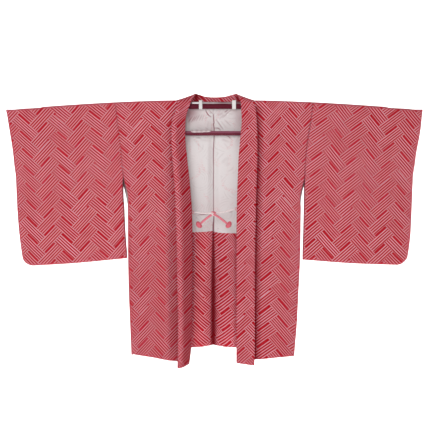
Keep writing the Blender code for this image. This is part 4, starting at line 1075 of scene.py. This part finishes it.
def sleeveX(side, u, v, edgeZ):
    s = sleeveSizes
    onBody = sideX[side](edgeZ) + bodySizes["seamGap"]
    inner = np.where(edgeZ < bodySizes["armholeEnd"], sleeveInnerX[side](edgeZ), onBody)
    outer = sleeveOuterX[side](between(s["outerEdge"][0][0], s["outerEdge"][-1][0], v))
    return between(inner, outer, u)


def makeSleeve(side):
    s, sign, corner = sleeveSizes, signs[side], sleeveSizes["cornerRadius"]
    u = np.linspace(0, 1, s["columns"])
    u = u + s["crowding"] * (u - u**2) * u
    cuffTop = float(sleeveOuterX[side](0.0))
    topX = between(float(sideX[side](neckPointZ)) + bodySizes["seamGap"], cuffTop, u)
    crest = crestZ(topX)
    fromCuff = cuffTop - topX
    short = np.maximum(corner - fromCuff, 0.0)
    drop = crest - (sleeveBottomZ[side](u) + corner - np.sqrt(corner**2 - short**2))
    narrowing, start = s["cuffNarrowing"]
    radius = shoulderRadius * (1 - narrowing * eased((u - start) / (1 - start)))
    turns = np.linspace(0, pi / 2, s["turnSteps"] + 1)[:, None]
    turnZ = crest - radius * (1 - np.cos(turns))
    turnHalf = radius * np.sin(turns)
    # straight rows below the turn
    topV, lastV = radius / drop, (drop - s["bottomRadius"]) / drop
    v = between(topV, lastV, np.linspace(0, 1, s["rows"])[1:, None])
    z = crest - drop * v
    edgeZ = between(neckPointZ, float(sleeveBottomZ[side](0.0)), v)
    x = sleeveX(side, u, v, edgeZ)
    atSeam = sideHalfDepth(np.maximum(z, bodySizes["armholeEnd"])) * sleeveSeamShare(v)
    gap = between(atSeam, sleeveBelly(v), eased(u / s["seamSpread"]))
    shut = eased((v - s["cuffShut"][0]) / s["cuffShut"][1])
    nearCuff = 1 - eased(fromCuff / (2 * corner))
    half = between(gap, s["endGap"], nearCuff * shut) * (1 - s["cuffPressed"] * nearCuff * (1 - shut))
    half = between(radius, half, eased((v - topV) / (s["turnBlend"] - topV)))
    fold = np.minimum(s["bottomRadius"], half[-1])
    half = between(half, fold, np.clip((v - s["bottomFrom"]) / (lastV - s["bottomFrom"]), 0, 1))
    height, waves = s["wave"]
    lean = height * np.sin(tau * waves * u + s["waveStart"][side])
    middle = lean * eased(v / s["seamSpread"]) * eased(u / s["seamSpread"])
    fade = eased((v - topV) / s["foldRuns"][0]) * eased((1 - v) / s["foldRuns"][1])
    soft = foldField(sign * x, z, sleeveFolds[side]) * fade
    hidden = foldField(-sign * x, z, sleeveFolds[otherSide[side]]) * fade * s["hiddenFolds"]
    # round the bottom fold and up again
    around = np.linspace(0, pi, s["foldSteps"] + 1)[1:-1, None]
    foldY = middle[-1] - fold * np.cos(around)
    foldZ = z[-1] - s["bottomRadius"] * np.sin(around) + 0 * fold
    frontX, frontZ = np.concatenate([sleeveX(side, u, 0.0, turnZ), x]), np.concatenate([turnZ, z])
    nearY = np.concatenate([-turnHalf, middle - half - soft])
    farY = np.concatenate([turnHalf, middle + half + hidden])
    loopX = np.concatenate([frontX, x[-1] + 0 * foldY, frontX[:0:-1]])
    loopY = np.concatenate([nearY, foldY, farY[:0:-1]])
    loopZ = np.concatenate([frontZ, foldZ, frontZ[:0:-1]])
    points = np.stack([sign * loopX, loopY, loopZ], axis=-1)
    # cloth laid flat: across from the seam, along from the crest
    flatZ = crest + (pi / 2 - 1) * radius - lengthAlong(points[..., 1:])
    seenX = asSeen(points[..., 0], -s["meanDepth"])
    cloth = layGrain(f"sleeve_{side}", seenX, asSeen(flatZ, -s["meanDepth"], "height"))
    cloth = np.concatenate([cloth, layGrain(f"sleeve_{side}", seenX[:1], flatZ[-1:])])
    points = np.concatenate([points, points[:1]])
    atX, atZ = np.abs(points[..., 0]), points[..., 2]
    shadow = armholeShade(side, atX - sideX[side](atZ), atZ)
    place, high, low, spread, depth = s["rodEnd"][side]
    lowRun, highRun = s["rodEndRuns"]
    rodEnd = depth * bell(atX - place, spread)
    shadow += rodEnd * eased((atZ - low) / lowRun) * eased((high - atZ) / highRun)
    rows, columns = loopX.shape
    faces = gridFaces(rows + 1, columns)
    # closed below the cuff
    firstShut = int(np.argmax(edgeZ[:, -1] < bodySizes["armholeEnd"])) + len(turns)
    frontRows, cuff = len(frontX), columns - 1
    pairs = [(r, rows - r) for r in range(firstShut, frontRows)]
    for (r, back), (nextR, nextBack) in zip(pairs, pairs[1:]):
        faces.append([row * columns + cuff for row in (r, nextR, nextBack, back)])
    faces.append([(frontRows - 1 + k) * columns + cuff for k in range(s["foldSteps"] + 1)])
    stored = {"shadow": shadow, "coarser": np.full(shadow.size, s["coarser"][side])}
    piece = addPiece(f"sleeveCloth_{side}", points, faces, cloth, stored, merge=0.00002)
    dress(piece, crepe, "crepe", f"sleeve_{side}", wall=bodySizes["wall"])


for side in signs:
    makeSleeve(side)
print("sleeves cut")


# The collar, one band folded outwards in half along its length
def collarStations(side):
    s, sign = collarSizes, signs[side]
    hem = float(frontHemZ[side](1.0))
    z = np.linspace(hem, neckPointZ - shoulderRadius, s["stations"])
    lastStep = hem + (bodySizes["slitEnd"] - hem) / bodySizes["strips"]
    ending = np.clip((lastStep - z) / (lastStep - hem), 0, 1)
    foldEnd, freeEnd = s["end"][side]
    foldX, foldY, freeX, freeY = (curve(z) for curve in collarCurves[side])
    fold = np.stack([sign * foldX, foldY, z + (foldEnd - hem) * ending], axis=-1)
    free = np.stack([sign * freeX, freeY, z + (freeEnd - hem) * ending], axis=-1)
    seam = np.stack([sign * seamX(side, z), frontY(side, 1.0, z, neckPointZ), z], axis=-1)
    return np.stack([fold, free, seam])


def underNeckline(x):
    y, z = neckline(x)
    return x, float(y) - collarSizes["overhang"][0], float(z) - collarSizes["overhang"][1]


def neckStations(side):
    s, sign = collarSizes, signs[side]
    turnZ = neckPointZ - shoulderRadius * 0.5
    seams = [(float(seamX(side, turnZ)), float(frontY(side, 1.0, turnZ, neckPointZ)), turnZ),
             (neckPointX - s["neckPointSeam"][0], s["neckPointSeam"][1], neckPointZ + s["neckPointSeam"][2])]
    seams += [underNeckline(x) for x in s["neckSeamX"]]
    wide = s["neckStretch"][side]
    return [((sign * row[0] * wide, *row[1:3]), (sign * row[3] * between(1.0, wide, 0.25), *row[4:]),
             (sign * seam[0], *seam[1:])) for row, seam in zip(s["neck"], seams)]


# Ridges and troughs on the outer leaf: from, to (height), place across the leaf, width, height
collarFolds = {
    "left": mm([(-60, -330, 0.45, 0.18, 1.2), (-350, -800, 0.6, 0.16, -1.6)], 2, 3),
    "right": mm([(-80, -400, 0.55, 0.2, 1), (-420, -790, 0.45, 0.2, -1)], 2, 3),
}


# Fold line, free edge and seam, from the left hem round the neck to the right hem
def collarLines():
    s = collarSizes
    left, right = collarStations("left"), collarStations("right")
    anchors = [left[:, k] for k in s["joinRows"]] + neckStations("left")
    anchors += [(s["neckMiddle"][:3], s["neckMiddle"][3:], underNeckline(0.0))]
    anchors += neckStations("right")[::-1] + [right[:, k] for k in s["joinRows"][::-1]]
    anchors = np.array(anchors)
    keys = (lengthAlong(anchors[:, 0]) + lengthAlong(anchors[:, 1])) / 2
    at = np.linspace(keys[2], keys[-3], s["neckStations"] + 2)[1:-1]
    neck = [[curveThrough(keys, anchors[:, k, axis])(at) for axis in range(3)] for k in range(3)]
    return np.concatenate([left, np.swapaxes(neck, 1, 2), right[:, ::-1]], axis=1)


def makeCollar():
    s, r = collarSizes, collarSizes["foldRadius"]
    fold, free, seam = collarLines()
    tangent = unit(np.gradient(fold, axis=0))
    leaf = unit((free + seam) / 2 - fold)
    out = unit(np.cross(tangent, leaf))
    tip = -unit(leaf - tangent * (leaf * tangent).sum(axis=1)[:, None])
    centre = fold - tip * r
    bulge = bySide(s["bulge"])
    onSide = {"left": fold[:, 0] < 0, "right": fold[:, 0] > 0}
    sections = []
    for share in np.linspace(0, 1, s["leafColumns"] + 1)[:-1]:
        lift = np.zeros(len(fold))
        for side in signs:
            for top, low, place, width, height in collarFolds[side]:
                run = np.clip((top - fold[:, 2]) / (top - low), 0, 1)
                press = np.sin(pi * run) * bell(share - place, width)
                lift += onSide[side] * height * press * sin(pi * share)
            hump = sin(pi * share ** (np.log(0.5) / np.log(s["bulgeAt"][side])))
            lift += onSide[side] * bulge[side](fold[:, 2]) * hump
        sections.append(between(free, centre + out * r, share) + out * lift[:, None])
    for turn in np.linspace(pi / 2, -pi / 2, s["foldColumns"]):
        sections.append(centre + (tip * cos(turn) + out * sin(turn)) * r)
    for share in np.linspace(0, 1, s["seamColumns"] + 1)[1:]:
        sections.append(between(centre - out * r, seam, share))
    points = np.stack(sections, axis=1)
    # the cloth as it is seen on the fronts, and measured on from there round the fold and the neck
    width, along = lengthAlong(points, 1), lengthAlong(points)
    leafEnd = s["leafColumns"]
    tipColumn = leafEnd + s["foldColumns"] // 2
    station, halfway = np.arange(len(fold)), len(fold) // 2
    cloth = np.zeros((*width.shape, 2))
    for side, sign in signs.items():
        index = station <= halfway if side == "left" else station > halfway
        seenX = asSeen(points[..., 0], points[..., 1])
        seenZ = asSeen(points[..., 2], points[..., 1], "height")
        seenX[:, tipColumn:] = seenX[:, [tipColumn]] - sign * (width[:, tipColumn:] - width[:, [tipColumn]])
        seenZ[:, tipColumn:] = seenZ[:, [tipColumn]]
        rows = np.flatnonzero(index & (fold[:, 2] < s["turnFrom"]))
        last = rows[-1] if side == "left" else rows[0]
        onward = seenZ[last] + np.abs(along - along[last])
        seenWidth = np.abs(seenX[last, 0] - seenX[last, leafEnd - 1]) / width[last, leafEnd - 1]
        level = seenX[last, 0] - sign * width * seenWidth
        turned = eased((fold[:, 2] - s["turnFrom"]) / s["turnLength"] + 1)[:, None]
        beyond = (station > last if side == "left" else station < last)[:, None]
        seenZ = np.where(beyond, onward, seenZ)
        seenX = between(seenX, level, np.where(beyond, 1.0, turned))
        cloth[index] = layGrain(f"collar_{side}", seenX, seenZ)[index]
    seenZ = asSeen(points[..., 2], points[..., 1], "height")
    seenZ[:, :leafEnd] = seenZ[:, [leafEnd]] + (width[:, [leafEnd]] - width[:, :leafEnd])
    seenX = asSeen(points[..., 0], points[..., 1])
    seenX[:, :leafEnd] = (along - along[halfway] + seenX[halfway])[:, :leafEnd]
    start, end, atPattern, middleZ = s["neckGrain"]
    roundNeck = (fold[:, 0] > start) & (fold[:, 0] < end) & (fold[:, 2] > 0)
    cloth[roundNeck] = np.stack([atPattern + seenZ - middleZ, seenX], axis=-1)[roundNeck]
    # painted shade: the inside of the band beside its two raised places is painted darker, where little
    # light reaches
    acrossBand = np.arange(width.shape[1])
    shadow = np.zeros(width.shape)
    start, run = s["insideColumns"]
    inner = np.clip((acrossBand - start) / run, 0, 1)
    for x, spread, depth, top in s["pockets"]:
        shadow += inner * depth * bell(points[..., 0] - x, spread) * (points[..., 2] > top)
    edgeAt, edgeWide = s["edgeColumns"]
    for side, (start, depth) in s["edgeShadow"].items():
        down = eased((start - fold[:, 2]) / s["edgeShadowRun"]) * onSide[side]
        shadow += depth * down[:, None] * bell(acrossBand - edgeAt, edgeWide)
    start, run, end = s["leafFade"]
    onLeaf = eased((acrossBand - start) / run) * (acrossBand < end)
    # painted shade on the left leaf, which turns away from the light, and a little on the right
    paintedLeafShade = np.where(fold[:, 0] < s["leafShadeFrom"], column(s["leafShade"], 1)(fold[:, 2]),
                        s["rightShade"] * (fold[:, 2] < 0))
    shadow += paintedLeafShade[:, None] * onLeaf
    stored = {"shadow": np.clip(shadow, 0, 0.95), "coarser": np.full(width.size, s["coarser"])}
    piece = addPiece("collarCloth", points, gridFaces(*width.shape), cloth, stored)
    dress(piece, crepe, "crepe", "collar", wall=s["wall"])


makeCollar()
print("collar folded")

# The fastening cord
cordSizes = {
    "diameter": 0.0062,
    "loopZ": {"left": -0.3330, "right": -0.3230},
    "loopRadius": 0.0040, "loopThickness": 0.0010,
    "eyeRadius": 0.0032, "eyeThickness": 0.0009,
    "fitGap": 0.0003,
    "knot": (-0.0040, -0.0205, -0.3370), "knotWidth": 0.0085, "knotStrand": 0.0021,
    "knobRadius": 0.0092, "knobFlat": 0.72,
    # angle from the cord, share of the radius: a cap with a dimple where the cord goes in
    "knobShape": [(0, 0.42), (0.45, 0.72), (0.9, 1.12), (1.3, 1.3), (1.7, 1.26), (2.3, 1.04), (3.15, 0.92)],
    "knob": {"left": (-0.0488, -0.0215, -0.3725), "right": (0.0442, -0.0215, -0.3725)},
    "sag": (0.0, -0.0005, -0.0022), "bow": (0.0, -0.0005, 0.0012),
    "depthShift": {"left": -0.0018, "right": 0.0018},
    "beads": 0.0150, "leadShare": 0.88, "tailShare": 1.14,
    "steps": 150, "sides": 20, "pinkFrom": 78, "thickFrom": (0.46, 0.08), "beadHeight": 0.10,
    "smoothing": 60, "tailFrom": 0.0095, "braidPitch": 480,
    # the knot's line: mean reach and how much it varies, half depth, share of its height, turn (degrees)
    "knotLine": (0.0046, 0.0024, 0.0028, 0.85, 30), "paleAbove": 0.0012,
    "knobRings": 40, "knobSides": 56, "knobBraid": 0.07,
}


def smoothRoute(stops, count):
    keys = lengthAlong(stops)
    fine = np.linspace(0, keys[-1], 400)
    path = np.stack([curveThrough(keys, stops[:, k])(fine) for k in range(3)], axis=-1)
    for _ in range(cordSizes["smoothing"]):
        path[1:-1] = path[1:-1] * 0.5 + (path[:-2] + path[2:]) * 0.25
    done = lengthAlong(path)
    at = np.linspace(0, done[-1], count)
    return np.stack([np.interp(at, done, path[:, k]) for k in range(3)], axis=-1), done[-1]


def tubeAlong(name, path, radius, sides=12, closed=True, braid=0.0):
    count = len(path)
    tangent = np.roll(path, -1, axis=0) - np.roll(path, 1, axis=0) if closed else np.gradient(path, axis=0)
    tangent = unit(tangent)
    first = np.cross(tangent[0], (0.0, 1.0, 0.0))
    if np.linalg.norm(first) < 0.2:
        first = np.cross(tangent[0], (1.0, 0.0, 0.0))
    guide = [unit(first)]
    for ahead in tangent[1:]:
        guide.append(unit(guide[-1] - ahead * np.dot(guide[-1], ahead)))
    guide = np.array(guide)
    along = lengthAlong(path)[:, None]
    angles = np.arange(sides) / sides * tau
    pitch = cordSizes["braidPitch"]
    weave = np.maximum(*(np.abs(np.sin(along * pitch + angles * lean)) for lean in (4, -4)))
    radii = np.broadcast_to(radius, count)[:, None] * (1 + braid * (weave - 0.8))
    cosines, sines = np.cos(angles)[:, None], np.sin(angles)[:, None]
    ring = guide[:, None] * cosines + np.cross(tangent, guide)[:, None] * sines
    cloth = np.stack([along + 0 * angles, angles / tau + 0 * along], axis=-1)
    faces = gridFaces(count, sides, closed=closed, tube=True)
    if not closed:
        faces += [list(range(sides)), list(range((count - 1) * sides, count * sides))]
    return addPiece(name, path[:, None] + ring * radii[..., None], faces, cloth)


def cordPlaces(side):
    s, sign = cordSizes, signs[side]
    z = s["loopZ"][side]
    foldX, foldY = sign * float(collarCurves[side][0](z)), float(collarCurves[side][1](z))
    y = foldY + collarSizes["foldRadius"] + collarSizes["wall"] / 2 + 2 * s["fitGap"] + s["loopThickness"]
    loopX = foldX - sign * s["loopRadius"] / 2
    inner = loopX - sign * (s["loopRadius"] - s["loopThickness"] - s["fitGap"] - s["eyeThickness"])
    eyeX = inner - sign * s["eyeRadius"]
    start = eyeX - sign * (s["eyeRadius"] + s["eyeThickness"] + s["fitGap"])
    return [np.array((x, y, z)) for x in (loopX, eyeX, start)]


def circle(centre, radius, upright, count=40):
    angles = np.arange(count) / count * tau
    rest = 0 * angles
    ring = [np.cos(angles), rest, np.sin(angles)] if upright else [np.cos(angles), np.sin(angles), rest]
    return centre + np.stack(ring, axis=-1) * radius


def makeKnob(side):
    s, rings, sides = cordSizes, cordSizes["knobRings"], cordSizes["knobSides"]
    centre = np.array(s["knob"][side])
    toCord = unit(np.array(s["knot"]) - centre)
    sideways = unit(np.cross(toCord, (0, 1, 0)))
    depth = np.cross(sideways, toCord)
    polar = np.linspace(0, pi, rings + 1)[:, None]
    around = np.arange(sides) / sides * tau
    strands = np.maximum(*(np.abs(np.sin(polar * 5 + around * lean)) for lean in (3, -3)))
    shape = column(s["knobShape"], 1)(polar) + s["knobBraid"] * (strands - 0.9) * np.sin(polar)
    x, y, z = np.sin(polar) * np.cos(around), np.sin(polar) * np.sin(around) * s["knobFlat"], np.cos(polar)
    radius = s["knobRadius"] * shape[..., None]
    points = centre + (sideways * x[..., None] + depth * y[..., None] + toCord * z[..., None]) * radius
    cloth = np.stack([polar * 0.009 + 0 * around, around / tau * 3 + 0 * polar], axis=-1)
    inner, flat = points[1:-1].reshape(-1, 3), cloth[1:-1].reshape(-1, 2)
    faces = gridFaces(rings - 1, sides, tube=True)
    top, lowest = len(inner), len(inner) - sides
    for c in range(sides):
        d = (c + 1) % sides
        faces += [[c, d, top], [lowest + c, lowest + d, top + 1]]
    points = np.concatenate([inner, [points[0, 0], points[-1, 0]]])
    piece = addPiece(f"knob_{side}", points, faces, np.concatenate([flat, [(0.0, 0.5), (0.03, 0.5)]]))
    return dress(piece, knobBraid, "cord_pink", f"cord_knob_{side}")


def makeKnot():
    centre = np.array(cordSizes["knot"])
    meanReach, change, halfDepth, flatness, turn = cordSizes["knotLine"]
    t = np.linspace(0, tau, 161)[:-1]
    reach = meanReach + change * np.cos(3 * t)
    turned = 2 * t + radians(turn)                         # two loops up, one down
    x, y, z = reach * np.cos(turned), halfDepth * np.sin(3 * t), reach * np.sin(turned) * flatness
    path = np.stack([x, y, z], axis=-1)
    piece = tubeAlong("knot", centre + path, cordSizes["knotStrand"], 16, braid=0.06)
    dress(piece, pinkBraid, "cord_pink", "cord_knot")
    piece.data.materials.append(paleBraid)
    low = [polygon.center.z < centre[2] - cordSizes["paleAbove"] for polygon in piece.data.polygons]
    piece.data.polygons.foreach_set("material_index", low)
    return piece


def makeCords():
    s, knot, run = cordSizes, np.array(cordSizes["knot"]), np.linspace(0, 1, cordSizes["steps"])
    knobs = {side: makeKnob(side) for side in signs}
    knotPiece = makeKnot()
    for side, sign in signs.items():
        other = otherSide[side]
        loopAt, eyeAt, start = cordPlaces(side)
        loop = tubeAlong(f"loop_{side}", circle(loopAt, s["loopRadius"], True), s["loopThickness"])
        dress(loop, pinkBraid, "crepe", f"cord_loop_{side}")
        eye = tubeAlong(f"eye_{side}", circle(eyeAt, s["eyeRadius"], False), s["eyeThickness"])
        dress(eye, paleBraid, "cord_pale", f"cord_eye_{side}")
        leadEnd = knot + (sign * (s["knotWidth"] + s["fitGap"]), 0, 0.0010)
        knob = np.array(s["knob"][other])
        away = unit(knob - knot)
        shift = np.array([0, s["depthShift"][side], 0])
        tailStart = knot + away * s["tailFrom"] + shift
        finish = knob - away * (s["knobRadius"] * s["knobFlat"])
        path, length = smoothRoute(np.array([
            start, (start + leadEnd) / 2 + s["sag"], leadEnd + shift,
            tailStart, (tailStart + finish) / 2 + s["bow"], finish]), s["steps"])
        beads = 1 + s["beadHeight"] * np.sin(run * length / s["beads"] * tau) * (run < 0.5)
        thickStart, thickRun = s["thickFrom"]
        thick = between(s["leadShare"], s["tailShare"], eased((run - thickStart) / thickRun)) * beads
        radius = s["diameter"] / 2 * thick
        cord = tubeAlong(f"cord_{side}", path, radius, s["sides"], closed=False, braid=0.07)
        dress(cord, paleBraid, "cord_pale", f"cord_lead_{side}", f"cord_tail_{other}")
        cord.data.materials.append(pinkBraid)
        pink = [polygon.vertices[0] // s["sides"] >= s["pinkFrom"] for polygon in cord.data.polygons]
        cord.data.polygons.foreach_set("material_index", pink)
        pieces = [knobs[other], eye] + ([knotPiece] if side == "left" else [])


makeCords()
print("cord tied")

# The hanger keeps its shapes, with finishes of its own
finishes = {"lower_bar": barLacquer, "rod": lacquer, "bar_link": lacquer, "clip": whitePlastic,
            "neck_rest": restPlasticPaintedLight}
for name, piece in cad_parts.items():
    node = bpy.data.objects[piece] if isinstance(piece, str) else piece
    for start, finish in finishes.items():
        if name.startswith(start):
            for slot in node.material_slots:
                slot.material = finish
print("hanger finished")

# Studio: a white sweep, a large soft light above the camera and a white sky
studio = {"floorZ": -1.90, "front": -4.0, "wallY": 8.0, "rise": 7.5, "halfWidth": 9.0,
          "sky": 0.17, "glow": 1.0, "aim": (0, 0, -0.35),
          # place, size, power
          "lights": {"key": ((-0.7, -2.9, 0.5), 1.5, 43.6), "fill": ((0.3, -2.9, -0.5), 1.5, 8.6),
                     "top": ((-0.2, -0.7, 1.7), 1.2, 8.0)}}


def makeStudio():
    s = studio
    bend = np.linspace(0, pi / 2, 14)[1:]
    flatEnd, wallTop = s["wallY"] - 1.0, s["floorZ"] + s["rise"]
    y = np.concatenate([np.linspace(s["front"], flatEnd, 8), flatEnd + np.sin(bend), [s["wallY"]]])
    z = np.concatenate([np.full(8, s["floorZ"]), s["floorZ"] + 1.0 - np.cos(bend), [wallTop]])
    points = [(x, y[k], z[k]) for k in range(len(y)) for x in (-s["halfWidth"], s["halfWidth"])]
    floor = addPiece("sweep", points, gridFaces(len(y), 2))
    paper = {"Base Color": (0.95, 0.95, 0.95, 1), "Roughness": 0.9,
             "Emission Color": (1, 1, 1, 1), "Emission Strength": s["glow"]}
    floor.data.materials.append(newMaterial("sweepPaper", paper)[0])
    world = bpy.data.worlds.new("studioSky")
    world.use_nodes = True
    world.node_tree.nodes["Background"].inputs[0].default_value = (1, 1, 1, 1)
    world.node_tree.nodes["Background"].inputs[1].default_value = s["sky"]
    bpy.context.scene.world = world
    for name, (place, size, power) in s["lights"].items():
        data = bpy.data.lights.new(name, "AREA")
        data.size = size
        data.energy = power
        light = addObject(name, data)
        light.location = place
        light.rotation_euler = (Vector(s["aim"]) - Vector(place)).to_track_quat("-Z", "Y").to_euler()
    bpy.context.scene.view_settings.view_transform = "Standard"


makeStudio()
print("studio lit")
